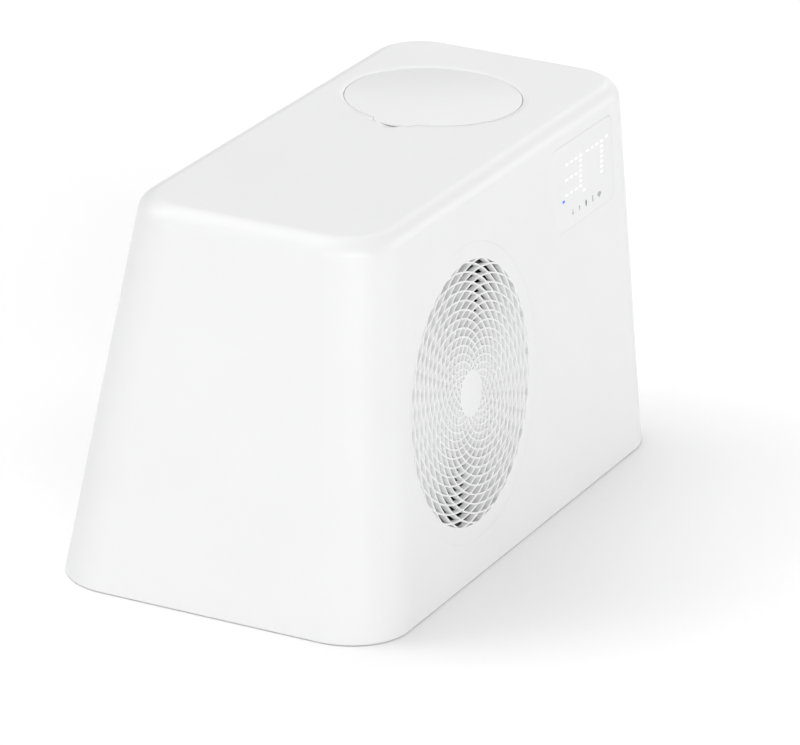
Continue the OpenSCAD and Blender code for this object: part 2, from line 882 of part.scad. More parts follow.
// Round lid: flush disc and finger tab, with a skirt and stiffening ribs below
module filter_lid() {
    skirt_r = well_in_r - seat_gap - skirt_in;
    color("#f5f5f5") translate([lid_x, lid_y, 0]) {
        translate([0, 0, lid_under_z]) linear_extrude(lid_t) lid_outline(0);
        translate([0, 0, lid_under_z - skirt_ht]) tube(skirt_r, skirt_r - skirt_t, skirt_ht + lid_t / 2);
        for (i = [0 : lid_rib_count / 2 - 1]) rotate(360 * i / lid_rib_count)
            translate([-skirt_r + skirt_t / 2, -lid_rib_t / 2, lid_under_z - skirt_ht / 2])
            cube([2 * skirt_r - skirt_t, lid_rib_t, skirt_ht / 2 + lid_t / 2]);
    }
}

// Soft ring that the lid rests on, lying on the ledge of the well
module lid_gasket() {
    color("#555759") translate([lid_x, lid_y, ledge_z]) tube(well_in_r + gasket_w, well_in_r, gasket_t);
}

// Filter housing: a cup with its mouth in the well and two water stubs
module filter_housing() {
    color("#dfe2e4") translate([lid_x, lid_y, 0]) difference() {
        union() {
            translate([0, 0, canister_low]) round_can(canister_r, canister_len, canister_dome, comp_steps);
            translate([0, 0, flange_z_top - 2 * collar_rise])
                cylinder(r = collar_r, h = canister_top - flange_z_top + 2 * collar_rise);
            translate([0, 0, flange_z_top - canister_flange_t]) cylinder(r = flange_r, h = canister_flange_t);
            translate([0, 0, hose_in_z]) rotate([-90, 0, 0])
                cylinder(r = hose_r, h = canister_r + stub_len);
            translate([0, 0, canister_low - stub_len]) cylinder(r = hose_r, h = stub_len + canister_dome);
        }
        translate([0, 0, canister_low + canister_t])
            round_can(bore_r, canister_top - canister_low + canister_dome,
                canister_dome - canister_t / 2, comp_steps);
        translate([0, 0, hose_in_z]) rotate([-90, 0, 0])
            cylinder(r = stub_bore_r, h = canister_r + stub_len + overrun);
        translate([0, 0, canister_low - stub_len - overrun])
            cylinder(r = stub_bore_r, h = stub_len + canister_t + canister_dome);
    }
}

// Quarter-turn cap: a grooved plug, a broad rim and a grip of eight lobes
cap_low = canister_top + seat_gap;
cap_top_z = cap_low + cap_top_t + cap_grip_ht;

module filter_cap() {
    groove_z = cap_low - cap_plug_len / 2;
    color("#3f4347") translate([lid_x, lid_y, 0]) difference() {
        union() {
            translate([0, 0, cap_low - cap_plug_len])
                cylinder(r = bore_r - cap_gap, h = cap_plug_len + cap_top_t / 2);
            translate([0, 0, cap_low]) cylinder(r = collar_r, h = cap_top_t);
            for (i = [0 : 3]) rotate(45 * i) translate([-cap_grip_r, -cap_grip_w / 2, cap_low])
                cube([2 * cap_grip_r, cap_grip_w, cap_top_t + cap_grip_ht]);
            translate([0, 0, cap_low]) cylinder(r = cap_boss_r, h = cap_top_t + cap_grip_ht);
        }
        translate([0, 0, groove_z]) rotate_extrude()
            translate([bore_r - 2 * (ring_r + ring_gap), -ring_r - ring_gap])
            square([3 * ring_r, 2 * (ring_r + ring_gap)]);
        translate([0, 0, cap_low - cap_plug_len - overrun])
            cylinder(r = bore_r - 2 * ring_r - cap_wall, h = cap_plug_len + overrun - cap_wall / 2);
        translate([0, 0, cap_top_z - bleed_len - shaft_gap])
            cylinder(r = bleed_r + shaft_gap, h = bleed_len + overrun);
    }
}

module cap_seal() {
    color("#1f1f1f") translate([lid_x, lid_y, cap_low - cap_plug_len / 2])
        rotate_extrude() translate([bore_r - ring_r - ring_gap, 0]) circle(r = ring_r - ring_gap);
}

// Slotted bleed screw in the middle of the cap
module bleed_screw() {
    color("#9a9da0") translate([lid_x, lid_y, cap_top_z + seat_gap]) difference() {
        union() {
            cylinder(r = bleed_head_r, h = bleed_head_t);
            translate([0, 0, -bleed_len]) cylinder(r = bleed_r, h = bleed_len + bleed_head_t / 2);
        }
        translate([-bleed_head_r, -lid_rib_t / 2, bleed_head_t / 2])
            cube([2 * bleed_head_r, lid_rib_t, bleed_head_t]);
    }
}

// Pleated cartridge on a perforated core, standing on the housing's floor
module filter_cartridge() {
    foot_z = canister_low + canister_t + seat_gap;
    head_z = cap_low - cap_plug_len - seat_gap;
    pleats = [for (i = [0 : 2 * pleat_count - 1]) let (r = i % 2 == 0 ? pleat_out_r : pleat_in_r)
        let (a = 180 * i / pleat_count) [r * cos(a), r * sin(a)]];
    color("#eef1f4") translate([lid_x, lid_y, foot_z]) difference() {
        union() {
            linear_extrude(head_z - foot_z) polygon(pleats);
            cylinder(r = end_cap_r, h = end_cap_t);
            translate([0, 0, head_z - foot_z - end_cap_t]) cylinder(r = end_cap_r, h = end_cap_t);
        }
        translate([0, 0, -overrun]) cylinder(r = core_r, h = head_z - foot_z - end_cap_t);
    }
}

// Intake louvre: a framed insert of sloping slats behind a flange
module intake_louvre() {
    slat_count = floor((louvre_h - 2 * louvre_frame_w) / louvre_slat_pitch);
    inner_w = louvre_w - 2 * louvre_frame_w;
    inner_h = louvre_h - 2 * louvre_frame_w;
    color("#ececec") on_back(-fan_off, louvre_up) {
        difference() {
            union() {
                translate([0, 0, -louvre_depth]) linear_extrude(louvre_depth)
                    round_rect(louvre_w, louvre_h, louvre_r);
                translate([0, 0, -flange_z - flange_t]) linear_extrude(flange_t)
                    round_rect(louvre_w + 2 * flange_over, louvre_h + 2 * flange_over, louvre_r + flange_over);
            }
            translate([-inner_w / 2, -inner_h / 2, -louvre_depth - overrun])
                cube([inner_w, inner_h, louvre_depth + 2 * overrun]);
        }
        intersection() {
            for (i = [0 : slat_count])
                translate([0, (i - slat_count / 2) * louvre_slat_pitch, -louvre_depth / 2])
                rotate([louvre_slat_deg, 0, 0])
                cube([inner_w + louvre_frame_w, louvre_depth, louvre_slat_t], center = true);
            translate([-louvre_w / 2, -louvre_h / 2 + louvre_frame_w / 2, -louvre_depth + louvre_slat_t])
                cube([louvre_w, louvre_h - louvre_frame_w, louvre_depth - 2 * louvre_slat_t]);
        }
        for (s = [-1, 0, 1])
            translate([s * inner_w / 4 - louvre_mullion_w / 2, -inner_h / 2 - overrun, -louvre_depth])
            cube([louvre_mullion_w, inner_h + 2 * overrun, louvre_slat_t]);
    }
}

// Service bay: a moulded pocket whose mouth is flush with the back face
module service_bay() {
    color("#e6e6e6") difference() {
        union() {
            intersection() {
                bay_core(bay_w, bay_ht, bay_y - bay_t, body_wid);
                shroud_block(0, floor_gap);
            }
            intersection() {
                bay_core(bay_w + 2 * flange_over, bay_ht + 2 * flange_over, bay_y - bay_t, body_wid);
                difference() {
                    body_slice(tray_top, body_ht / 2 + bay_ht, flange_z);
                    body_slice(tray_top - overrun, body_ht / 2 + bay_ht + overrun, flange_z + flange_t);
                }
            }
        }
        bay_core(bay_w - 2 * bay_t, bay_ht - 2 * bay_t, bay_y, body_wid + overrun);
        for (x = [inlet_x, outlet_x]) translate([x, bay_y - bay_t - overrun, port_z]) rotate([-90, 0, 0])
            cylinder(r = port_body_r + seat_gap, h = bay_t + 2 * overrun);
        translate([mains_x - mains_w / 2 - seat_gap, bay_y - bay_t - overrun,
            mains_z - mains_h / 2 - seat_gap])
            cube([mains_w + 2 * seat_gap, bay_t + 2 * overrun, mains_h + 2 * seat_gap]);
        translate([mains_x - switch_w / 2 - seat_gap, bay_y - bay_t - overrun,
            switch_z - switch_h / 2 - seat_gap])
            cube([switch_w + 2 * seat_gap, bay_t + 2 * overrun, switch_h + 2 * seat_gap]);
    }
}

// Water port: an outer spigot, a flange on the bay's wall and an inner tail
module water_port(x) {
    body_back = bay_y - bay_t - seat_gap - nut_t - tail_len;
    spigot_y = bay_y + seat_gap + port_flange_t;
    color("#4b4f54") translate([x, 0, port_z]) rotate([-90, 0, 0]) difference() {
        union() {
            translate([0, 0, body_back]) cylinder(r = port_body_r, h = spigot_y - body_back);
            translate([0, 0, bay_y + seat_gap]) cylinder(r = port_flange_r, h = port_flange_t);
            translate([0, 0, spigot_y - overrun]) cylinder(r = port_r, h = port_len + overrun);
            translate([0, 0, spigot_y + port_len])
                cylinder(r1 = port_r, r2 = port_r - port_chamfer, h = port_chamfer);
        }
        translate([0, 0, body_back - overrun])
            cylinder(r = port_bore_r, h = spigot_y + port_len + port_chamfer - body_back + 2 * overrun);
    }
}

module inlet_port() {
    water_port(inlet_x);
}

module outlet_port() {
    water_port(outlet_x);
}

// Hexagon nuts that hold the two ports from inside
module port_nuts() {
    color("#3c4044") for (x = [inlet_x, outlet_x])
        translate([x, bay_y - bay_t - seat_gap, port_z]) rotate([90, 0, 0]) difference() {
        cylinder(r = nut_r, h = nut_t, $fn = 6);
        translate([0, 0, -overrun]) cylinder(r = port_body_r + seat_gap, h = nut_t + 2 * overrun);
    }
}

// Mains inlet socket with three blades, the earth one above the others
module power_inlet() {
    inner_w = mains_w - 2 * mains_wall;
    inner_h = mains_h - 2 * mains_wall;
    color("#1d1e20") translate([mains_x, bay_y + seat_gap, mains_z]) rotate([-90, 0, 0]) {
        difference() {
            union() {
                translate([0, 0, -mains_depth]) linear_extrude(mains_depth)
                    square([mains_w, mains_h], center = true);
                linear_extrude(mains_flange_t)
                    round_rect(mains_w + 2 * mains_flange, mains_h + mains_flange, mains_flange / 2);
            }
            translate([0, 0, -mains_depth + mains_wall]) linear_extrude(mains_depth + mains_flange_t)
                square([inner_w, inner_h], center = true);
        }
        for (i = [-1, 0, 1])
            translate([i * blade_pin_pitch, i == 0 ? -blade_pin_drop : blade_pin_drop, -mains_depth])
            linear_extrude(blade_pin_len + mains_wall) square([blade_pin_w, blade_pin_h], center = true);
    }
}

// Rocker switch: a framed housing and a rocker on a cross pin
module switch_housing() {
    color("#222426") translate([mains_x, bay_y + seat_gap, switch_z]) rotate([-90, 0, 0]) difference() {
        union() {
            translate([0, 0, -switch_depth]) linear_extrude(switch_depth)
                square([switch_w, switch_h], center = true);
            linear_extrude(switch_flange_t)
                round_rect(switch_w + 2 * switch_flange, switch_h + 2 * switch_flange, switch_flange);
        }
        translate([0, 0, -switch_depth + mains_wall]) linear_extrude(switch_depth + switch_flange_t)
            square([rocker_w + 2 * seat_gap, rocker_h + 2 * rocker_room], center = true);
        translate([-switch_w / 2 - overrun, 0, -rocker_pivot]) rotate([0, 90, 0])
            cylinder(r = rocker_pin_r + shaft_gap, h = switch_w + 2 * overrun);
    }
}

module rocker_switch() {
    half = rocker_h / 2;
    color("#17181a") translate([mains_x, bay_y + seat_gap - rocker_pivot, switch_z]) union() {
        translate([-rocker_w / 2, 0, 0]) rotate([90, 0, 90]) linear_extrude(rocker_w) polygon([
            [-rocker_back, -half / 2], [rocker_cheek, -half], [rocker_front, -half],
            [rocker_front - rocker_dip, 0], [rocker_front, half], [rocker_cheek, half],
            [-rocker_back, half / 2]]);
        rotate([0, 90, 0]) cylinder(r = rocker_pin_r, h = switch_w, center = true);
    }
}

// Condenser: flat tubes between two upright headers
core_top = core_low + tube_count * tube_pitch;
header_x = core_w / 2 + header_r;

module condenser_core() {
    color("#9fa4a8") translate([core_x, core_y, 0]) union() {
        for (s = [-1, 1]) translate([s * header_x, 0, core_low])
            cylinder(r = header_r, h = core_top - core_low);
        for (i = [0 : tube_count - 1]) translate([-core_w / 2 - header_r / 2, -core_depth / 2 + tube_t,
            core_low + (i + 1 / 2) * tube_pitch - tube_t / 2])
            cube([core_w + header_r, core_depth - 2 * tube_t, tube_t]);
    }
}

// Folded fin strips, one between each two flat tubes
module condenser_fins() {
    fold = (core_w - 2 * fin_gap) / fin_fold_count;
    strip_h = tube_pitch - tube_t - 2 * fin_gap - fin_t;
    one_way = [for (i = [0 : fin_fold_count]) [i * fold, (i % 2) * strip_h]];
    back_way = [for (i = [fin_fold_count : -1 : 0]) [i * fold, (i % 2) * strip_h + fin_t]];
    color("#c9cdd0") for (i = [0 : tube_count - 2])
        translate([core_x - core_w / 2 + fin_gap, core_y + core_depth / 2,
            core_low + (i + 1 / 2) * tube_pitch + tube_t / 2 + fin_gap])
        rotate([90, 0, 0]) linear_extrude(core_depth) polygon(concat(one_way, back_way));
}

// Sockets on the tray that hold the two headers
module condenser_brackets() {
    color("#6d7073") for (s = [-1, 1]) translate([core_x + s * header_x, core_y, tray_top]) difference() {
        union() {
            translate([-foot_d / 2, -foot_w / 2, 0]) cube([foot_d, foot_w, foot_t]);
            cylinder(r = header_r + seat_gap + socket_t, h = core_low - tray_top + header_r);
        }
        translate([0, 0, core_low - tray_top]) cylinder(r = header_r + seat_gap, h = header_r + overrun);
    }
}

// Partition with a folded foot, its sides parallel to the shroud's
module bulkhead() {
    z0 = tray_top;
    z1 = bulkhead_top;
    color("#b4b8bb") difference() {
        union() {
            translate([bulkhead_x, 0, 0]) rotate([90, 0, 90]) linear_extrude(bulkhead_t) polygon([
                [front_y(z0) + bulkhead_margin, z0], [back_y(z0) - bulkhead_margin, z0],
                [back_y(z1) - bulkhead_margin, z1], [front_y(z1) + bulkhead_margin, z1]]);
            translate([bulkhead_x, front_y(z0) + 2 * bulkhead_margin, z0])
                cube([bulkhead_flange, back_y(z0) - front_y(z0) - 4 * bulkhead_margin, bulkhead_t]);
        }
        for (z = [liquid_z, discharge_z]) translate([bulkhead_x - overrun, core_y, z]) rotate([0, 90, 0])
            cylinder(r = thin_r + grommet_lip + seat_gap, h = bulkhead_t + 2 * overrun);
    }
}

// Rubber grommets where the two thin pipes pass the partition
module pipe_grommets() {
    color("#1e1e1e") for (z = [liquid_z, discharge_z]) translate([bulkhead_x, core_y, z]) rotate([0, 90, 0])
        difference() {
        union() {
            cylinder(r = thin_r + grommet_lip, h = bulkhead_t);
            for (at = [-grommet_t, bulkhead_t]) translate([0, 0, at])
                cylinder(r = thin_r + 2 * grommet_lip, h = grommet_t);
        }
        translate([0, 0, -grommet_t - overrun])
            cylinder(r = thin_r + grommet_gap, h = bulkhead_t + 2 * grommet_t + 2 * overrun);
    }
}

// Compressor: welded can on a three-lobed plate
function lobe_places() = [for (a = [90, 210, 330])
    [comp_x + comp_plate_r * cos(a), comp_y + comp_plate_r * sin(a)]];

module compressor() {
    color("#232527") difference() {
        union() {
            translate([comp_x, comp_y, comp_low]) round_can(comp_r, comp_ht, comp_edge, comp_steps);
            translate([comp_x, comp_y, comp_low + comp_ht - 2 * comp_edge - comp_band_ht])
                cylinder(r = comp_r + comp_band_t, h = comp_band_ht);
            translate([0, 0, comp_low - comp_plate_t]) linear_extrude(comp_plate_t) hull()
                for (p = lobe_places()) translate(p) circle(r = comp_plate_lobe, $fn = 32);
            translate([comp_x, comp_y, comp_low - comp_plate_t / 2]) cylinder(r = comp_r / 2, h = comp_edge);
        }
        for (p = lobe_places()) translate([p[0], p[1], comp_low - comp_plate_t - overrun])
            cylinder(r = stud_r + seat_gap, h = comp_plate_t + 2 * overrun);
    }
}

module compressor_mounts() {
    color("#18191a") for (p = lobe_places()) translate([p[0], p[1], tray_top])
        tube(mount_r, stud_r + seat_gap, comp_low - comp_plate_t - tray_top);
}

module compressor_nuts() {
    color("#a5a8ab") for (p = lobe_places()) translate([p[0], p[1], tray_top]) {
        cylinder(r = stud_r, h = comp_low - tray_top + stud_len);
        translate([0, 0, comp_low - tray_top]) cylinder(r = nut_af_r, h = small_nut_t, $fn = 6);
    }
}

module terminal_cover() {
    color("#101112") translate([comp_x + terminal_off, comp_y + terminal_off, comp_low + comp_ht + seat_gap])
        difference() {
        linear_extrude(terminal_h) round_rect(terminal_w, terminal_d, terminal_wall * 2);
        translate([0, 0, -overrun]) linear_extrude(terminal_h + overrun - terminal_wall)
            round_rect(terminal_w - 2 * terminal_wall, terminal_d - 2 * terminal_wall, terminal_wall);
    }
}

// Suction accumulator with its short pipe and its arm to the compressor's side
module accumulator() {
    color("#2a2c2e") union() {
        translate([accu_x, accu_y, accu_low]) round_can(accu_r, accu_ht, accu_edge, comp_steps);
        route([[accu_x, accu_y, accu_low + accu_edge], [accu_x, accu_y, accu_low - thick_bend],
            [comp_x - comp_r - seat_gap, accu_y, accu_low - thick_bend]], thick_r, thick_bend);
        translate([accu_x, accu_y - accu_arm_w / 2, accu_low + accu_arm_up])
            cube([comp_x - comp_r - seat_gap - accu_x, accu_arm_w, accu_arm_w / 2]);
    }
}

module discharge_pipe() {
    start = [comp_x - thick_bend, comp_y, comp_low + comp_ht];
    color("#b87333") route([start, [start[0], start[1], discharge_z], [start[0], discharge_y, discharge_z],
        [discharge_x, discharge_y, discharge_z], [discharge_x, core_y, discharge_z],
        [core_x + header_x + header_r + seat_gap, core_y, discharge_z]], thin_r, thin_bend);
}

// Liquid line from the condenser, through the drier and the valve, to the heat exchanger
module liquid_pipe() {
    to_x = barrel_x;
    color("#b87333") {
        liquid_run(core_x + header_x + header_r + seat_gap, drier_x - drier_len / 2 - drier_neck);
        liquid_run(drier_x + drier_len / 2 + drier_neck, valve_x - valve_len / 2);
        route([[valve_x + valve_len / 2, core_y, liquid_z], [to_x, core_y, liquid_z],
            [to_x, barrel_y + barrel_r + seat_gap, liquid_z]], thin_r, thin_bend);
    }
}

module liquid_run(x0, x1) {
    translate([x0, core_y, liquid_z]) rotate([0, 90, 0]) cylinder(r = thin_r, h = x1 - x0);
}

module filter_drier() {
    color("#c27c3a") translate([drier_x, core_y, liquid_z]) rotate([0, 90, 0]) rotate_extrude() polygon([
        [0, -drier_len / 2 - drier_neck], [thin_r, -drier_len / 2 - drier_neck], [drier_r, -drier_len / 2],
        [drier_r, drier_len / 2], [thin_r, drier_len / 2 + drier_neck], [0, drier_len / 2 + drier_neck]]);
}

module expansion_valve() {
    color("#b5965a") translate([valve_x, core_y, liquid_z]) union() {
        rotate([0, 90, 0]) cylinder(r = valve_r, h = valve_len, center = true);
        cylinder(r = valve_r * 2 / 3, h = valve_r + valve_head_ht / 2);
        translate([0, 0, valve_r + valve_head_ht / 3]) cylinder(r = valve_head_r, h = valve_head_ht / 3);
    }
}

module suction_pipe() {
    x = barrel_x + suction_in_x;
    top = barrel_low + barrel_ht;
    color("#b87333") route([[x, barrel_y + suction_in_y, top],
        [x, barrel_y + suction_in_y, top + suction_rise],
        [x, accu_y, top + suction_rise], [accu_x, accu_y, top + suction_rise],
        [accu_x, accu_y, accu_low + accu_ht]], thick_r, thick_bend);
}

// Heat exchanger barrel with a water stub at its side and one on top
module heat_exchanger() {
    color("#54595e") union() {
        translate([barrel_x, barrel_y, barrel_low]) round_can(barrel_r, barrel_ht, barrel_edge, comp_steps);
        for (z = [barrel_low + barrel_cap_ht, barrel_low + barrel_ht - 2 * barrel_cap_ht])
            translate([barrel_x, barrel_y, z]) cylinder(r = barrel_r + barrel_cap_r, h = barrel_cap_ht / 4);
        translate([barrel_x - barrel_r - barrel_stub, pump_y, barrel_water_z]) rotate([0, 90, 0])
            cylinder(r = hose_r, h = barrel_r);
        translate([barrel_x + water_out_x, barrel_y + water_out_y, barrel_low + barrel_ht - barrel_edge])
            cylinder(r = hose_r, h = barrel_edge + barrel_stub);
    }
}

module exchanger_stand() {
    stand_ht = barrel_low - tray_top;
    color("#6d7073") translate([barrel_x, barrel_y, tray_top]) difference() {
        union() {
            cylinder(r = barrel_r + stand_t + seat_gap, h = stand_ht + stand_lip);
            cylinder(r = barrel_r + stand_flange, h = stand_t);
        }
        translate([0, 0, stand_ht]) cylinder(r = barrel_r + seat_gap, h = stand_lip + overrun);
        translate([0, 0, -overrun]) cylinder(r = stand_r - stand_t, h = stand_ht + 2 * overrun);
    }
}

// Circulation pump: volute, impeller and motor on one axis along the length
module pump_volute() {
    color("#33373b") difference() {
        union() {
            translate([pump_x, pump_y, pump_z]) rotate([0, 90, 0]) cylinder(r = volute_r, h = volute_len);
            translate([pump_x - pump_spigot, pump_y, pump_z]) rotate([0, 90, 0])
                cylinder(r = hose_r, h = pump_spigot + overrun);
            translate([pump_x + outlet_in, pump_y, pump_z]) cylinder(r = hose_r, h = volute_r + pump_top);
        }
        translate([pump_x + volute_wall, pump_y, pump_z]) rotate([0, 90, 0])
            cylinder(r = volute_r - volute_wall, h = volute_len);
        translate([pump_x - pump_spigot - overrun, pump_y, pump_z]) rotate([0, 90, 0])
            cylinder(r = stub_bore_r, h = pump_spigot + volute_wall + 2 * overrun);
        translate([pump_x + outlet_in, pump_y, pump_z])
            cylinder(r = stub_bore_r, h = volute_r + pump_top + overrun);
    }
}

module pump_impeller() {
    disc_x = pump_x + volute_len - 2 * impeller_t;
    color("#d0d3d6") translate([disc_x, pump_y, pump_z]) rotate([0, 90, 0]) union() {
        cylinder(r = impeller_r, h = impeller_t);
        cylinder(r = pump_shaft_r, h = impeller_t + pump_shaft_len);
        for (i = [0 : vane_count - 1]) rotate(360 * i / vane_count)
            translate([impeller_r / 3, 0, -vane_h]) rotate(-30)
            cube([impeller_r / 2, vane_t, vane_h + impeller_t / 2]);
        translate([0, 0, -vane_h / 2]) cylinder(r = pump_shaft_r * 2, h = vane_h / 2 + impeller_t / 2);
    }
}

module pump_motor() {
    motor_x = pump_x + volute_len + seat_gap / 2;
    fin_pitch = pump_motor_len / 2 / pump_motor_fin_count;
    color("#4c6f9c") translate([motor_x, pump_y, pump_z]) rotate([0, 90, 0]) difference() {
        union() {
            cylinder(r = pump_motor_r, h = pump_motor_len);
            for (i = [1 : pump_motor_fin_count])
                translate([0, 0, pump_motor_len / 4 + i * fin_pitch - pump_motor_fin_t])
                cylinder(r = pump_motor_r + pump_motor_fin_r, h = pump_motor_fin_t);
        }
        translate([0, 0, -overrun]) cylinder(r = pump_shaft_r + shaft_gap, h = pump_shaft_len + overrun);
    }
}

// Pump base: a plate on four soft pads with two saddles under the motor
module pump_base() {
    motor_x = pump_x + volute_len + seat_gap / 2;
    plate_z = pump_z - pump_motor_r - pump_motor_fin_r - 2 * pump_plate_t;
    color("#3d4144") {
        translate([motor_x, pump_y - pump_plate_w / 2, plate_z]) union() {
            cube([pump_motor_len, pump_plate_w, pump_plate_t]);
            for (x = [0, pump_motor_len - pump_saddle_w]) translate([x, 0, 0]) difference() {
                cube([pump_saddle_w, pump_plate_w, pump_z - plate_z - pump_motor_r / 2]);
                translate([-overrun, pump_plate_w / 2, pump_z - plate_z]) rotate([0, 90, 0])
                    cylinder(r = pump_motor_r + seat_gap, h = pump_saddle_w + 2 * overrun);
            }
        }
        for (x = [pump_pad_r, pump_motor_len - pump_pad_r]) for (s = [-1, 1])
            translate([motor_x + x, pump_y + s * (pump_plate_w / 2 - pump_pad_r), tray_top])
            cylinder(r = pump_pad_r, h = plate_z - tray_top);
    }
}

// Water hoses between ports, filter, pump and heat exchanger
in_hose = [[inlet_x, tail_y, port_z], [inlet_x, hose_y, port_z], [inlet_x, hose_y, hose_in_z],
    [inlet_x, stub_y, hose_in_z]];
mid_hose = [[lid_x, lid_y, canister_low - stub_len], [lid_x, lid_y, hose_low_z],
    [hose_mid_x, lid_y, hose_low_z],
    [hose_mid_x, pump_y, hose_low_z], [hose_mid_x, pump_y, pump_z], [pump_x - pump_spigot, pump_y, pump_z]];
cold_hose = [[pump_x + outlet_in, pump_y, pump_z + volute_r + pump_top],
    [pump_x + outlet_in, pump_y, barrel_water_z],
    [barrel_x - barrel_r - barrel_stub, pump_y, barrel_water_z]];
out_x = barrel_x + water_out_x;
out_y = barrel_y + water_out_y;
out_z = barrel_low + barrel_ht + barrel_stub;
out_hose = [[out_x, out_y, out_z], [out_x, out_y, out_z + hose_bend + suction_rise / 2],
    [out_x, hose_y, out_z + hose_bend + suction_rise / 2],
    [out_x, hose_y, port_z], [outlet_x, hose_y, port_z],
    [outlet_x, tail_y, port_z]];

module inlet_hose() {
    color("#2d3033") route(in_hose, hose_r, hose_bend);
}

module pump_hose() {
    color("#2d3033") route(mid_hose, hose_r, hose_bend);
}

module exchanger_hose() {
    color("#2d3033") route(cold_hose, hose_r, hose_bend);
}

module outlet_hose() {
    color("#2d3033") route(out_hose, hose_r, hose_bend);
}

// A worm clamp round each joint of a hose and a stub
module hose_clamp(path, from_end) {
    n = len(path) - 1;
    a = from_end ? path[n] : path[0];
    b = from_end ? path[n - 1] : path[1];
    d = (b - a) / norm(b - a);
    aim(a - clamp_w / 2 * d, d) union() {
        tube(hose_r + clamp_gap + clamp_t, hose_r + clamp_gap, clamp_w);
        translate([hose_r + clamp_gap + clamp_t / 2, -clamp_lug / 2, 0])
            cube([clamp_lug / 2, clamp_lug, clamp_w]);
    }
}

module hose_clamps() {
    color("#c4c7ca") for (path = [in_hose, mid_hose, cold_hose, out_hose]) for (end = [false, true])
        hose_clamp(path, end);
}

// Control box on the partition, its open side closed by a flat lid
box_x = bulkhead_x + bulkhead_t + seat_gap;

module control_box() {
    color("#c6cacd") union() {
        difference() {
            translate([box_x, box_y - box_w / 2, box_low]) cube([box_depth, box_w, box_ht]);
            translate([box_x + box_t, box_y - box_w / 2 + box_t, box_low + box_t])
                cube([box_depth, box_w - 2 * box_t, box_ht - 2 * box_t]);
        }
        for (sy = [-1, 1]) for (z = [box_low + 2 * pcb_in, box_low + box_ht - 2 * pcb_in])
            translate([box_x + box_t / 2, box_y + sy * (box_w / 2 - 2 * pcb_in), z]) rotate([0, 90, 0])
            cylinder(r = standoff_r, h = pcb_off + box_t / 2);
    }
}

module control_box_lid() {
    color("#d2d5d8") translate([box_x + box_depth + seat_gap, box_y - box_w / 2, box_low]) union() {
        cube([box_t, box_w, box_ht]);
        translate([-seat_gap - box_t, box_t + seat_gap, box_t + seat_gap])
            cube([box_t * 2, box_w - 2 * (box_t + seat_gap), box_ht - 2 * (box_t + seat_gap)]);
    }
}

// Control board with relays and a connector row
module control_board() {
    board_x = box_x + box_t + pcb_off;
    color("#2f6b4a") union() {
        translate([board_x, box_y - box_w / 2 + pcb_in, box_low + pcb_in])
            cube([pcb_t, box_w - 2 * pcb_in, box_ht - 2 * pcb_in]);
        for (i = [0 : 2])
            translate([board_x + pcb_t / 2, box_y - box_w / 4 + i * relay_size * 1.4, box_low + box_ht / 2])
            cube([relay_size, relay_size, relay_size * 1.2]);
        translate([board_x + pcb_t / 2, box_y - box_w / 4, box_low + 2 * pcb_in])
            cube([relay_size / 2, box_w / 2, relay_size / 2]);
    }
}

module run_capacitor() {
    color("#e2e4e6") translate([bulkhead_x + bulkhead_flange + seat_gap + cap_can_r,
        box_y + box_w / 2 + seat_gap + cap_can_r, tray_top])
        cylinder(r = cap_can_r, h = cap_can_len);
}

// Every node, drawn alone or with the rest
base_tray();
rubber_feet();
tray_screws();
shroud();
fan_grille();
fan_shroud();
fan_rotor();
fan_motor();
motor_bracket();
display_window();
display_digits();
status_light();
touch_marks();
display_board();
filter_lid();
lid_gasket();
filter_cap();
cap_seal();
bleed_screw();
filter_housing();
filter_cartridge();
intake_louvre();
service_bay();
inlet_port();
outlet_port();
port_nuts();
power_inlet();
switch_housing();
rocker_switch();
condenser_core();
condenser_fins();
condenser_brackets();
bulkhead();
pipe_grommets();
compressor();
compressor_mounts();
compressor_nuts();
terminal_cover();
accumulator();
discharge_pipe();
liquid_pipe();
filter_drier();
expansion_valve();
suction_pipe();
heat_exchanger();
exchanger_stand();
pump_volute();
pump_impeller();
pump_motor();
pump_base();
inlet_hose();
pump_hose();
exchanger_hose();
outlet_hose();
hose_clamps();
control_box();
control_box_lid();
control_board();
run_capacitor();
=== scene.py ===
"""Looks of an ice bath chiller: a white moulded shroud over a tray that carries a fan, a
refrigerating circuit and a water circuit. Every size is in metres, in the part's own frame."""

import logging
import math
from dataclasses import dataclass, field
from enum import Enum
from typing import Optional, Sequence

import bmesh
import bpy
import numpy as np
from mathutils import Matrix, Vector


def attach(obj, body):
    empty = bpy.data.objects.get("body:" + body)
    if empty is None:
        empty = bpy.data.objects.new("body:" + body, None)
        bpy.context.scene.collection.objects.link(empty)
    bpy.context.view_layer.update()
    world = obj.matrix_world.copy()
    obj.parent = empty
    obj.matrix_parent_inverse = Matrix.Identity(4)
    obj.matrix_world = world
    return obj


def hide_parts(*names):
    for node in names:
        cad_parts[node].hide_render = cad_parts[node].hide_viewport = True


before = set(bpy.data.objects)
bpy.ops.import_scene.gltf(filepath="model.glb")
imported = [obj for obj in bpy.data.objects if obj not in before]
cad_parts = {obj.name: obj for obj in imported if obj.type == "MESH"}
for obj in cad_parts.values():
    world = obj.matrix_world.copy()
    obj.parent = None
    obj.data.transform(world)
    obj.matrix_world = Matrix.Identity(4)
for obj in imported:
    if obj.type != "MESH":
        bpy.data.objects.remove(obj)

log = logging.getLogger("chiller")
Array = np.ndarray
Colour = tuple[float, float, float]
MERGE = 2e-6  # corners nearer than this are one corner
OVERRUN = 0.001  # how far a cutting solid goes past what it cuts
BEHIND = 0.0003  # room between a flange and the wall that it lies behind
ROUND_STEPS = 5  # points on a small rolled edge


# Shader arithmetic and node graphs


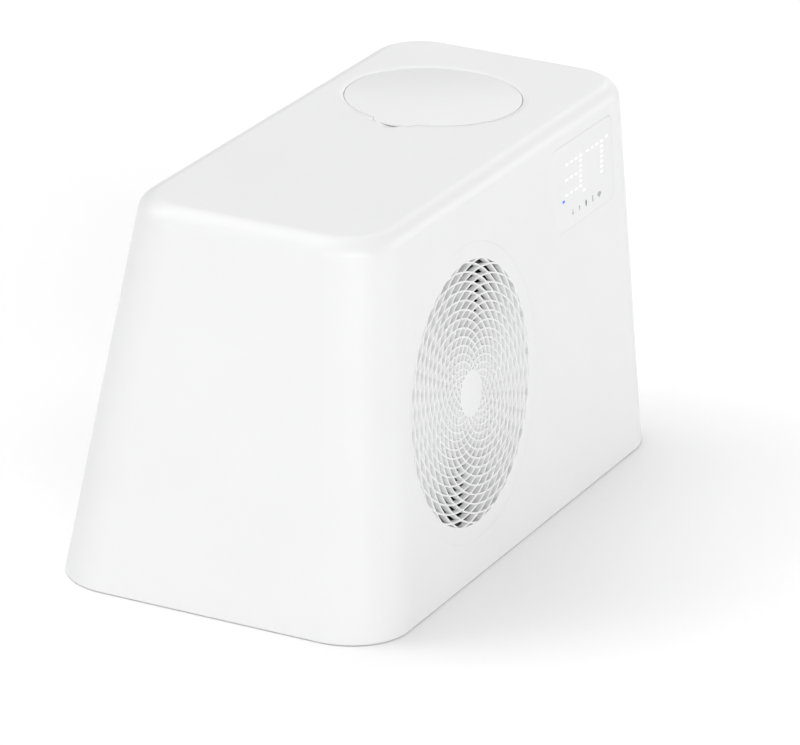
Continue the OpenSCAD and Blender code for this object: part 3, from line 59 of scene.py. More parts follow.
class Value:
    """A number socket of a material, with the arithmetic that the finishes use."""

    def __init__(self, graph: "Graph", socket: bpy.types.NodeSocket) -> None:
        """Wraps one output socket of a graph."""
        self.graph = graph
        self.socket = socket

    def _math(self, operation: str, first: object, second: object) -> "Value":
        """Adds one Math node and returns its output."""
        return self.graph.math(operation, first, second)

    def __add__(self, other: object) -> "Value":
        """self + other."""
        return self._math("ADD", self, other)

    __radd__ = __add__

    def __sub__(self, other: object) -> "Value":
        """self - other."""
        return self._math("SUBTRACT", self, other)

    def __rsub__(self, other: object) -> "Value":
        """other - self."""
        return self._math("SUBTRACT", other, self)

    def __mul__(self, other: object) -> "Value":
        """self * other."""
        return self._math("MULTIPLY", self, other)

    __rmul__ = __mul__

    def step_up(self, low: float, high: float) -> "Value":
        """0 below low and 1 above high, straight between them."""
        return self.graph.clamp((self - low) * (1.0 / (high - low)))


class Graph:
    """The node tree of one material, with its Principled shader."""

    def __init__(self, name: str) -> None:
        """Starts an empty material.

        Args:
            name: name of the material.
        """
        self.material = bpy.data.materials.new(name)
        self.material.use_nodes = True
        self.tree = self.material.node_tree
        self.tree.nodes.clear()
        self.output = self.tree.nodes.new("ShaderNodeOutputMaterial")

    def node(self, kind: str, settings: Optional[dict] = None,
             inputs: Optional[dict] = None) -> bpy.types.Node:
        """Adds any node.

        Args:
            kind: Blender's type name of the node.
            settings: attributes set before the inputs, such as a Math node's operation.
            inputs: values or sockets by input name or index.

        Returns:
            The new node.
        """
        made = self.tree.nodes.new(kind)
        for key, value in (settings or {}).items():
            setattr(made, key, value)
        for key, value in (inputs or {}).items():
            self.feed(made.inputs[key], value)
        return made

    def feed(self, socket: bpy.types.NodeSocket, value: object) -> None:
        """Links a socket to a Value or another socket, or sets its number.

        Args:
            socket: the input to feed.
            value: a Value, an output socket, or what the input is set to.
        """
        if isinstance(value, Value):
            value = value.socket
        if isinstance(value, bpy.types.NodeSocket):
            self.tree.links.new(value, socket)
        else:
            socket.default_value = value

    def math(self, operation: str, first: object, second: object) -> Value:
        """One Math node on two numbers or Values."""
        made = self.node("ShaderNodeMath", {"operation": operation}, {0: first, 1: second})
        return Value(self, made.outputs[0])

    def clamp(self, value: Value) -> Value:
        """Holds a Value between 0 and 1."""
        made = self.node("ShaderNodeClamp", inputs={"Value": value})
        return Value(self, made.outputs[0])

    def place(self) -> bpy.types.NodeSocket:
        """The Object coordinates of the piece."""
        return self.node("ShaderNodeTexCoord").outputs["Object"]

    def noise(self, scale: float, detail: float = 2.0, rough: float = 0.5) -> Value:
        """Fractal noise over the piece.

        Args:
            scale: features per metre.
            detail: octaves of finer noise.
            rough: strength of each octave.

        Returns:
            The noise, about 0.5 on average.
        """
        made = self.node("ShaderNodeTexNoise", inputs={
            "Vector": self.place(), "Scale": scale, "Detail": detail, "Roughness": rough})
        return Value(self, made.outputs["Fac"])

    def cells(self, scale: float) -> Value:
        """Voronoi cells over the piece.

        Args:
            scale: cells per metre.

        Returns:
            A random grey for each cell, from 0 to 1.
        """
        made = self.node("ShaderNodeTexVoronoi", inputs={"Vector": self.place(), "Scale": scale})
        parts = self.node("ShaderNodeSeparateColor", inputs={"Color": made.outputs["Color"]})
        return Value(self, parts.outputs[0])

    def blend(self, amount: Value, dark: Colour, light: Colour) -> bpy.types.NodeSocket:
        """A colour between dark and light."""
        ends = {0: amount, 6: (*dark, 1.0), 7: (*light, 1.0)}
        return self.node("ShaderNodeMix", {"data_type": "RGBA"}, ends).outputs[2]

    def below(self, face: Array) -> Value:
        """Distance of each point of the piece below a flat face.

        Args:
            face: 4 by 4 matrix of a place on the face, with its Z outward.

        Returns:
            The distance, in metres.
        """
        away = self.node("ShaderNodeVectorMath", {"operation": "SUBTRACT"},
                         {0: tuple(face[:3, 3]), 1: self.place()})
        along = self.node("ShaderNodeVectorMath", {"operation": "DOT_PRODUCT"},
                          {0: away.outputs[0], 1: tuple(face[:3, 2])})
        return Value(self, along.outputs["Value"])

    def bump(self, height: Value, depth: float) -> bpy.types.NodeSocket:
        """A Bump node over a height Value.

        Args:
            height: the height, from 0 to 1.
            depth: its full range in metres.

        Returns:
            The normal.
        """
        made = self.node("ShaderNodeBump", inputs={
            "Height": height, "Distance": depth, "Strength": 1.0})
        return made.outputs["Normal"]

    def shade(self, **inputs: object) -> bpy.types.Material:
        """Closes the material with a Principled shader.

        Args:
            inputs: the shader's sockets, with an underscore for each space in a name.

        Returns:
            The finished material.
        """
        named = {key.replace("_", " "): value for key, value in inputs.items()}
        shader = self.node("ShaderNodeBsdfPrincipled", inputs=named)
        self.feed(self.output.inputs["Surface"], shader.outputs[0])
        return self.material


def tone(colour: Colour, factor: float) -> Colour:
    """A colour made darker or lighter by one factor."""
    return tuple(min(1.0, c * factor) for c in colour)


# Finishes


class Finish:
    """A surface finish: its material is made once and shared by the pieces that wear it."""

    name: str

    def build(self, graph: Graph) -> bpy.types.Material:
        """Makes the material's nodes.

        Args:
            graph: the nodes of the new material.

        Returns:
            The finished material.
        """
        raise NotImplementedError

    def material(self) -> bpy.types.Material:
        """The finish's material, made on first use."""
        known = bpy.data.materials.get(self.name)
        return known if known else self.build(Graph(self.name))


@dataclass(frozen=True)
class Moulded(Finish):
    """Moulded plastic: faint flow in its colour, orange peel or fine texture in its surface."""

    name: str
    colour: Colour
    roughness: float = 0.3
    coat: float = 0.0
    grain: float = 420.0
    depth: float = 0.00002

    def build(self, graph: Graph) -> bpy.types.Material:
        """Colour and roughness vary slowly; the bump is one fine noise.

        Args:
            graph: the nodes of the new material.

        Returns:
            The finished material.
        """
        flow = graph.noise(9.0, 3.0)
        grain = graph.noise(self.grain, 2.0)
        colour = graph.blend(flow.step_up(0.3, 0.7), tone(self.colour, 0.985), self.colour)
        roughness = self.roughness + (graph.noise(60.0) - 0.5) * 0.06
        return graph.shade(Base_Color=colour, Roughness=roughness, Coat_Weight=self.coat,
                           Coat_Roughness=0.12, Normal=graph.bump(grain, self.depth))


@dataclass(frozen=True)
class Pierced(Finish):
    """Moulded plastic of a lattice in the front face, with painted light: paler down the shaded
    walls of its openings.
    """

    name: str
    colour: Colour
    painted_light: Colour
    start: float = 0.0003
    end: float = 0.0009

    def build(self, graph: Graph) -> bpy.types.Material:
        """The colour follows the distance below the front face: painted light that lightens the
        walls of the openings, where shade falls.

        Args:
            graph: the nodes of the new material.

        Returns:
            The finished material.
        """
        # painted light: below the face the walls get a paler colour, standing in for light reaching
        # into the openings
        painted_light = graph.below(BODY.on_front(0.0, 0.0)).step_up(self.start, self.end)
        return graph.shade(Base_Color=graph.blend(painted_light, self.colour, self.painted_light),
                           Roughness=0.45 + (graph.noise(60.0) - 0.5) * 0.06,
                           Normal=graph.bump(graph.noise(420.0), 0.00002))


@dataclass(frozen=True)
class Rubber(Finish):
    """Soft black rubber with a dusty bloom."""

    name: str
    colour: Colour = (0.025, 0.025, 0.026)

    def build(self, graph: Graph) -> bpy.types.Material:
        """Bloom lightens the colour in patches, over a fine grain.

        Args:
            graph: the nodes of the new material.

        Returns:
            The finished material.
        """
        bloom = graph.noise(38.0, 4.0, 0.6).step_up(0.45, 0.75)
        colour = graph.blend(bloom, self.colour, tone(self.colour, 2.2))
        return graph.shade(Base_Color=colour, Roughness=0.62 + bloom * 0.2,
                           Normal=graph.bump(graph.noise(900.0), 0.00004))


@dataclass(frozen=True)
class Metal(Finish):
    """Bare or plated metal, drawn, cast or spangled."""

    name: str
    colour: Colour
    roughness: float = 0.32
    grain: float = 260.0
    spangle: float = 0.0

    def build(self, graph: Graph) -> bpy.types.Material:
        """Roughness follows a fine noise; a spangle adds cells of differing grey.

        Args:
            graph: the nodes of the new material.

        Returns:
            The finished material.
        """
        grain = graph.noise(self.grain, 3.0)
        flecks = graph.cells(self.spangle) if self.spangle else graph.noise(22.0, 3.0)
        colour = graph.blend(flecks, tone(self.colour, 0.82), self.colour)
        return graph.shade(Base_Color=colour, Metallic=1.0,
                           Roughness=self.roughness + (grain - 0.5) * 0.18,
                           Normal=graph.bump(grain, 0.00002))


@dataclass(frozen=True)
class Paint(Finish):
    """Satin paint over a can or a casting."""

    name: str
    colour: Colour
    roughness: float = 0.38

    def build(self, graph: Graph) -> bpy.types.Material:
        """A soft coat over a slightly uneven colour.

        Args:
            graph: the nodes of the new material.

        Returns:
            The finished material.
        """
        cloud = graph.noise(30.0, 3.0)
        colour = graph.blend(cloud, tone(self.colour, 0.9), tone(self.colour, 1.1))
        return graph.shade(Base_Color=colour, Roughness=self.roughness + (cloud - 0.5) * 0.1,
                           Coat_Weight=0.25, Coat_Roughness=0.2,
                           Normal=graph.bump(graph.noise(500.0), 0.00003))


@dataclass(frozen=True)
class Board(Finish):
    """Solder-masked circuit board with a faint copper pour."""

    name: str
    colour: Colour = (0.03, 0.16, 0.08)

    def build(self, graph: Graph) -> bpy.types.Material:
        """Cells of lighter mask stand for the poured copper.

        Args:
            graph: the nodes of the new material.

        Returns:
            The finished material.
        """
        pour = graph.cells(240.0).step_up(0.4, 0.6)
        colour = graph.blend(pour, self.colour, tone(self.colour, 1.6))
        return graph.shade(Base_Color=colour, Roughness=0.35 + pour * 0.1,
                           Normal=graph.bump(pour, 0.00003))


@dataclass(frozen=True)
class Fleece(Finish):
    """Pleated filter fleece."""

    name: str
    colour: Colour = (0.84, 0.86, 0.88)

    def build(self, graph: Graph) -> bpy.types.Material:
        """Short fibres as a fine noise in colour and bump.

        Args:
            graph: the nodes of the new material.

        Returns:
            The finished material.
        """
        fibre = graph.noise(1500.0, 4.0, 0.7)
        colour = graph.blend(fibre, tone(self.colour, 0.86), self.colour)
        return graph.shade(Base_Color=colour, Roughness=0.9, Normal=graph.bump(fibre, 0.0002))


@dataclass(frozen=True)
class Glow(Finish):
    """A lit dot behind a diffusing skin, its light slightly cloudy."""

    name: str
    colour: Colour
    strength: float = 1.0

    def build(self, graph: Graph) -> bpy.types.Material:
        """The light carries the colour; the skin stays pale.

        Args:
            graph: the nodes of the new material.

        Returns:
            The finished material.
        """
        cloud = graph.noise(700.0, 1.0)
        colour = graph.blend(cloud, tone(self.colour, 0.97), self.colour)
        return graph.shade(Base_Color=tone(self.colour, 0.6) + (1.0,), Roughness=0.4 + cloud * 0.1,
                           Emission_Color=colour, Emission_Strength=self.strength)


class White(Enum):
    """The whites of the shroud and what sits in it."""

    SHROUD = Moulded("shroud white", (0.790, 0.790, 0.794), 0.40, 0.12)
    LID = Moulded("lid white", (0.790, 0.790, 0.794), 0.40, 0.12)
    GRILLE = Moulded("grille white", (0.790, 0.790, 0.794), 0.42, 0.1)
    # LATTICE's second colour is painted light on the shaded walls of the grille's openings
    LATTICE = Pierced("lattice white with painted wall light", (0.790, 0.790, 0.794), (0.90, 0.90, 0.903))
    WINDOW = Moulded("window white", (0.790, 0.790, 0.794), 0.38, 0.15)
    LOUVRE = Moulded("louvre white", (0.76, 0.76, 0.76), 0.45, 0.0, 900.0, 0.00004)
    BAY = Moulded("bay grey", (0.66, 0.66, 0.67), 0.5, 0.0, 900.0, 0.00005)


class Skin(Enum):
    """The other finishes of the chiller."""

    PRINT = Moulded("touch mark grey", (0.24, 0.25, 0.26), 0.5)
    PALE_PRINT = Moulded("touch mark pale grey", (0.42, 0.43, 0.44), 0.5)
    DARK = Moulded("dark moulding", (0.030, 0.032, 0.035), 0.45, 0.0, 800.0, 0.00005)
    DUCT = Moulded("duct black", (0.010, 0.010, 0.011), 0.6, 0.0, 700.0, 0.00005)
    SOCKET = Moulded("socket black", (0.015, 0.015, 0.016), 0.4, 0.0, 900.0, 0.00004)
    ROCKER = Moulded("rocker black", (0.010, 0.010, 0.011), 0.2, 0.3)
    HOUSING = Moulded("filter housing grey", (0.56, 0.58, 0.60), 0.4)
    BARREL = Moulded("foam sleeve", (0.045, 0.048, 0.052), 0.85, 0.0, 350.0, 0.0003)
    IMPELLER = Moulded("impeller white", (0.72, 0.73, 0.74), 0.4)
    SLEEVE = Moulded("capacitor white", (0.74, 0.75, 0.76), 0.3)
    HOSE = Rubber("hose rubber", (0.018, 0.019, 0.020))
    RUBBER = Rubber("soft rubber")
    GASKET = Rubber("lid gasket", (0.05, 0.052, 0.055))
    TRAY = Metal("galvanised sheet", (0.60, 0.62, 0.64), 0.42, 300.0, 70.0)
    ZINC = Metal("zinc plate", (0.66, 0.67, 0.68), 0.28)
    CAST = Metal("die cast aluminium", (0.50, 0.51, 0.53), 0.5, 500.0)
    FINS = Metal("brazed aluminium", (0.62, 0.64, 0.66), 0.36)
    COPPER = Metal("drawn copper", (0.80, 0.42, 0.26), 0.26)
    BRASS = Metal("turned brass", (0.72, 0.55, 0.26), 0.3)
    STEEL = Metal("turned steel", (0.60, 0.60, 0.61), 0.25)
    CAN = Paint("can black", (0.012, 0.012, 0.013))
    BRACKET = Paint("bracket black", (0.02, 0.02, 0.022), 0.5)
    PUMP = Paint("pump blue", (0.05, 0.12, 0.26))
    BOARD = Board("circuit board")
    FLEECE = Fleece("filter fleece")
    LIGHT = Glow("display light", (1.0, 1.0, 1.0), 0.95)
    DIM_LIGHT = Glow("display point", (0.97, 0.97, 0.97), 0.50)
    BLUE_LIGHT = Glow("status light", (0.0, 0.17, 0.85), 0.50)


# Meshes from arrays


@dataclass
class Solid:
    """Closed surface under construction: corners and faces gathered from arrays."""

    points: list[Array] = field(default_factory=list)
    faces: list[tuple[int, ...]] = field(default_factory=list)
    count: int = 0

    def add(self, points: Array, faces: Sequence[Sequence[int]]) -> None:
        """Adds corners and the faces between them.

        Args:
            points: corners (n, 3).
            faces: loops of indices into these corners.
        """
        self.points.append(points)
        self.faces.extend(tuple(int(i) + self.count for i in f) for f in faces)
        self.count += len(points)

    def loft(self, rings: Array, closed: bool = False) -> "Solid":
        """Skins a stack of loops of as many points each.

        Args:
            rings: (rows, n, 3); each loop runs anticlockwise seen from the side the rows rise to.
            closed: joins the last loop to the first, as round a ring; otherwise caps both ends.

        Returns:
            This solid.
        """
        rows, n = rings.shape[:2]
        k = np.arange(rows if closed else rows - 1)[:, None]
        i = np.arange(n)[None, :]
        j = (i + 1) % n
        up = (k + 1) % rows
        quads = np.stack([k * n + i, k * n + j, up * n + j, up * n + i], axis=-1).reshape(-1, 4)
        faces = [tuple(q) for q in quads.tolist()]
        if not closed:
            faces += [tuple(range(n))[::-1], tuple((rows - 1) * n + m for m in range(n))]
        self.add(rings.reshape(-1, 3), faces)
        return self

    def object(self, name: str, place: Optional[Array] = None,
               angle: float = 32.0) -> bpy.types.Object:
        """Makes the Blender object.

        Args:
            name: the piece's name.
            place: a 4 by 4 matrix that takes the points to the part's frame.
            angle: edges sharper than this many degrees stay sharp.

        Returns:
            The object, at the origin, its place in its mesh.
        """
        points = np.concatenate(self.points)
        if place is not None:
            points = points @ place[:3, :3].T + place[:3, 3]
        mesh = bpy.data.meshes.new(name)
        mesh.from_pydata(points.tolist(), [], self.faces)
        return finish_mesh(link(name, mesh), angle)


def link(name: str, mesh: bpy.types.Mesh) -> bpy.types.Object:
    """Puts a mesh in the scene.

    Args:
        name: name of the object.
        mesh: its mesh.

    Returns:
        The object.
    """
    made = bpy.data.objects.new(name, mesh)
    bpy.context.scene.collection.objects.link(made)
    return made


def finish_mesh(piece: bpy.types.Object, angle: float) -> bpy.types.Object:
    """Merges doubled corners, turns the faces outward and smooths all but the sharp edges.

    Args:
        piece: the piece, which is changed.
        angle: edges sharper than this many degrees stay sharp.

    Returns:
        The same piece.
    """
    work = bmesh.new()
    work.from_mesh(piece.data)
    bmesh.ops.remove_doubles(work, verts=work.verts, dist=MERGE)
    bmesh.ops.recalc_face_normals(work, faces=work.faces)
    work.to_mesh(piece.data)
    work.free()
    piece.data.shade_smooth()
    piece.data.set_sharp_from_angle(angle=math.radians(angle))
    return piece


def bake(piece: bpy.types.Object) -> bpy.types.Object:
    """Applies the piece's modifiers to its mesh.

    Args:
        piece: the piece, which is changed.

    Returns:
        The same piece.
    """
    view = bpy.context.evaluated_depsgraph_get()
    mesh = bpy.data.meshes.new_from_object(piece.evaluated_get(view))
    piece.modifiers.clear()
    piece.data = mesh
    return piece


def carve(piece: bpy.types.Object, tool: bpy.types.Object, operation: str = "DIFFERENCE") -> None:
    """Cuts, joins or crosses a piece with a tool, which is used up.

    Args:
        piece: the piece, which is changed.
        tool: a closed solid; it is removed afterwards.
        operation: DIFFERENCE, UNION or INTERSECT.
    """
    cut = piece.modifiers.new("cut", "BOOLEAN")
    cut.object, cut.operation, cut.solver = tool, operation, "EXACT"
    bpy.context.view_layer.update()
    bake(piece)
    bpy.data.objects.remove(tool)


def soften(piece: bpy.types.Object, width: float, segments: int = 2, angle: float = 35.0) -> None:
    """Rounds the sharp edges and keeps the flat faces flat in the shading.

    Args:
        piece: the piece, which gets its modifiers.
        width: width of the rounding.
        segments: facets across it.
        angle: edges sharper than this many degrees are rounded.
    """
    edge = piece.modifiers.new("edge", "BEVEL")
    edge.width, edge.segments, edge.limit_method = width, segments, "ANGLE"
    edge.angle_limit = math.radians(angle)
    edge.use_clamp_overlap = True
    edge.miter_outer = "MITER_ARC"
    weight = piece.modifiers.new("weight", "WEIGHTED_NORMAL")
    weight.keep_sharp = True


def turned(profile: Array, count: int) -> Array:
    """A profile turned round Z: each point is radius * (cos, sin) at its height.

    Args:
        profile: (m, 2) pairs of radius and height.
        count: points round each ring.

    Returns:
        Rings (m, count, 3).
    """
    a = np.linspace(0.0, 2 * math.pi, count, endpoint=False)
    r, z = profile[:, 0, None], profile[:, 1, None]
    return np.stack([r * np.cos(a), r * np.sin(a), z + 0 * a], axis=-1)


def rounded_box(width: float, height: float, radius: float, steps: int = 12) -> Array:
    """A box with round corners: a quarter circle round each of four centres.

    Args:
        width: size along X.
        height: size along Y.
        radius: radius of the corners.
        steps: facets on each corner.

    Returns:
        The outline (n, 2), anticlockwise from the right-hand side.
    """
    a = np.radians(90.0) * (np.arange(4)[:, None] + np.linspace(0, 1, steps + 1)[None, :])
    reach = np.array([width / 2 - radius, height / 2 - radius])
    centre = np.array([[1, 1], [-1, 1], [-1, -1], [1, -1]]) * reach
    return (centre[:, None, :] + radius * np.stack([np.cos(a), np.sin(a)], axis=-1)).reshape(-1, 2)


def stack(outlines: Sequence[Array], heights: Sequence[float]) -> Array:
    """Rings (rows, n, 3) from flat outlines at their heights."""
    return np.stack([np.column_stack([o, np.full(len(o), z)]) for o, z in zip(outlines, heights)])


def prism(outline: Array, low: float, high: float) -> Solid:
    """A straight solid between two heights."""
    return Solid().loft(stack([outline, outline], [low, high]))


# The shroud's geometry


@dataclass(frozen=True)
class Body:
    """Sizes of the shroud and the frames of its faces."""

    length: float = 0.890
    width: float = 0.488
    height: float = 0.520
    floor_gap: float = 0.005
    front_lean: float = 0.053
    back_lean: float = 0.074
    left_lean: float = 0.062
    right_lean: float = 0.022
    corner_low: float = 0.086
    corner_top: float = 0.076
    edge: float = 0.022
    wall: float = 0.0035
    skirt: float = 0.0014

    @property
    def span(self) -> float:
        """Rise of the shroud from its lower edge to its top."""
        return self.height - self.floor_gap

    def section(self, z: float, inset: float, steps: int = 28) -> Array:
        """One level loop: four leaning sides and round corners, inset square to the walls.

        Args:
            z: height of the loop.
            inset: distance in from the outside.
            steps: points on each corner.

        Returns:
            (n, 3) points, anticlockwise seen from above.
        """
        rise = (z - self.floor_gap) / self.span
        lean = [self.left_lean, self.right_lean, self.front_lean, self.back_lean]
        slope = [inset / math.cos(math.atan(v / self.span)) + v * rise for v in lean]
        x0, x1 = -self.length / 2 + slope[0], self.length / 2 - slope[1]
        y0, y1 = -self.width / 2 + slope[2], self.width / 2 - slope[3]
        r = self.corner_low + (self.corner_top - self.corner_low) * rise - inset
        a = np.radians(90.0) * (np.arange(4)[:, None] + np.linspace(0, 1, steps + 1)[None, :])
        centre = np.array([[x1 - r, y1 - r], [x0 + r, y1 - r], [x0 + r, y0 + r], [x1 - r, y0 + r]])
        loop = (centre[:, None, :] + r * np.stack([np.cos(a), np.sin(a)], axis=-1)).reshape(-1, 2)
        return np.column_stack([loop, np.full(len(loop), z)])

    def block(self, inset: float, low: float, edge_steps: int = 14) -> Solid:
        """The closed form of the shroud, or of its inside, with a quarter-round edge at the top.

        Args:
            inset: distance in from the outside.
            low: height of its foot; below the floor gap the sides stand upright.
            edge_steps: rows of the edge.

        Returns:
            The solid.
        """
        top, r = self.height - inset, self.edge - inset
        a = np.radians(90.0) * np.linspace(0, 1, edge_steps + 1)
        lowest = self.section(self.floor_gap, inset)
        rows = [lowest * [1, 1, 0] + [0, 0, low], lowest]
        rows += [self.section(top - r + r * math.sin(t), inset + r * (1 - math.cos(t))) for t in a]
        return Solid().loft(np.stack(rows))

    def on_front(self, x: float, up: float) -> Array:
        """Frame of a place on the front face.

        Args:
            x: place along the body.
            up: distance up the face from its lower edge.

        Returns:
            4 by 4 matrix: X along the body, Y up the face, Z out of it.
        """
        tilt = math.pi / 2 - math.atan(self.front_lean / self.span)
        m = Matrix.Translation((x, -self.width / 2, self.floor_gap)) @ Matrix.Rotation(tilt, 4, "X")
        return np.array(m @ Matrix.Translation((0, up, 0)))

    def on_back(self, x: float, up: float) -> Array:
        """Frame of a place on the back face.

        Args:
            x: place along the body.
            up: distance up the face from its lower edge.

        Returns:
            4 by 4 matrix: X towards the part's -X, Y up the face, Z out of it.
        """
        tilt = math.pi / 2 - math.atan(self.back_lean / self.span)
        m = Matrix.Translation((x, self.width / 2, self.floor_gap))
        m = m @ Matrix.Rotation(math.pi, 4, "Z")
        return np.array(m @ Matrix.Rotation(tilt, 4, "X") @ Matrix.Translation((0, up, 0)))


BODY = Body()


class Dresser:
    """Shared ways of a sub-assembly: it rides its pieces on their bodies and reports them."""

    def wear(self, piece: bpy.types.Object, finish: Enum, body: str,
             *nodes: str) -> bpy.types.Object:
        """Dresses a new piece and puts it in place of its CAD nodes.

        Args:
            piece: the new object.
            finish: a member of White or Skin.
            body: the CAD body that it rides on.
            nodes: the CAD nodes that it stands for.

        Returns:
            The piece.
        """
        piece.data.materials.clear()
        piece.data.materials.append(finish.value.material())
        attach(piece, body)
        if nodes:
            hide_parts(*nodes)
        log.info("%s: %d faces, on %s", piece.name, len(piece.data.polygons), body)
        return piece

    def polish(self, node: str, finish: Enum, body: str = "chassis", edge: float = 0.0,
               angle: float = 32.0) -> bpy.types.Object:
        """Redraws a CAD node with merged corners, smooth curves and, where asked, soft edges.

        Args:
            node: the CAD node.
            finish: a member of White or Skin.
            body: the CAD body that it rides on.
            edge: width of the soft edge in metres, or 0.
            angle: edges sharper than this many degrees stay sharp.

        Returns:
            The new piece.
        """
        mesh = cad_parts[node].data.copy()
        piece = link(node + "_piece", mesh)
        work = bmesh.new()
        work.from_mesh(mesh)
        bmesh.ops.remove_doubles(work, verts=work.verts, dist=MERGE)
        level = math.radians(0.4)
        bmesh.ops.dissolve_limit(work, angle_limit=level, verts=work.verts, edges=work.edges)
        work.to_mesh(mesh)
        work.free()
        mesh.shade_smooth()
        mesh.set_sharp_from_angle(angle=math.radians(angle))
        if edge:
            soften(piece, edge)
        return self.wear(piece, finish, body, node)


@dataclass
class Lid(Dresser):
    """Round filter lid with its finger tab, and the recess that it lies in."""

    radius: float = 0.120
    thick: float = 0.004
    x: float = 0.194
    y: float = 0.006
    gap: float = 0.0008
    tab_out: float = 0.010
    tab_half: float = 0.034
    gasket: float = 0.0012
    step: float = 0.0068
    well_depth: float = 0.042
    skirt_in: float = 0.0103
    skirt_thick: float = 0.003
    skirt_drop: float = 0.007
    rib: float = 0.002
    scoop_r: float = 0.036
    scoop_depth: float = 0.0052
    scoop_out: float = 0.013
    roll: float = 0.0007
    sunk: float = 0.0014
    flare_out: float = 0.0105
    flare_down: float = 0.0017

    @property
    def well_in(self) -> float:
        """Radius of the well inside the lid's ledge."""
        return self.radius + self.gap - self.step

    @property
    def ledge(self) -> float:
        """Height of the ledge that the gasket lies on."""
        return BODY.height - self.thick - self.gasket

    def outline(self, grow: float, count: int = 240) -> Array:
        """The disc's edge with the tab: the radius swells by the tab's length over a smooth bell.

        Args:
            grow: distance out from the lid's own edge.
            count: points round the edge.

        Returns:
            (count, 2) points about the lid's centre.
        """
        a = np.linspace(-math.pi, math.pi, count, endpoint=False) + math.pi / count
        off = np.abs((a % (2 * math.pi)) - math.pi) * self.radius
        t = np.clip((self.tab_half - off) / (0.30 * self.tab_half), 0, 1)
        swell = self.tab_out * t * t * (3 - 2 * t)
        r = self.radius + swell + grow
        return np.column_stack([r * np.cos(a), r * np.sin(a)])

    def flare(self) -> Solid:
        """Soft lip round the recess: a parabola, steepest at the gap.

        Returns:
            The cutting solid.
        """
        out = np.linspace(0, 1, 9)
        grow = (self.gap + self.flare_out * out).tolist()
        high = (-self.flare_down * (1 - out) ** 2).tolist()
        return Solid().loft(stack([self.outline(g) for g in grow + [grow[-1]]], high + [OVERRUN]))

    def place(self, z: float = 0.0) -> Array:
        """Matrix of the lid's centre at a height."""
        return np.array(Matrix.Translation((self.x, self.y, z)))

    def build(self) -> None:
        """Top plate with a rolled edge, skirt and stiffening ribs below."""
        roll, top = self.roll, -self.sunk
        a = np.radians(90.0) * np.linspace(0, 1, ROUND_STEPS)
        heights = [-self.thick, top - roll] + (top - roll + roll * np.sin(a)).tolist()[1:]
        grow = [0.0, 0.0] + (-roll * (1 - np.cos(a))).tolist()[1:]
        solid = Solid().loft(stack([self.outline(g) for g in grow], heights))
        r = self.well_in - self.skirt_in
        low, high, thick = -self.thick - self.skirt_drop, -self.thick / 2, self.skirt_thick
        skirt = np.array([[r, low], [r, high], [r - thick, high], [r - thick, low]])
        solid.loft(turned(skirt, 128), closed=True)
        for turn in range(4):
            c, s = math.cos(turn * math.pi / 4), math.sin(turn * math.pi / 4)
            spin = np.array([[c, s], [-s, c]])
            bar = rounded_box(2 * r - thick, self.rib, self.rib * 0.2, 3) @ spin
            solid.loft(stack([bar, bar], [-self.thick - self.skirt_drop / 2, high]))
        lid = solid.object("lid_cover", self.place(BODY.height))
        self.wear(lid, White.LID, "lid", "filter_lid")
        self.polish("lid_gasket", Skin.GASKET)


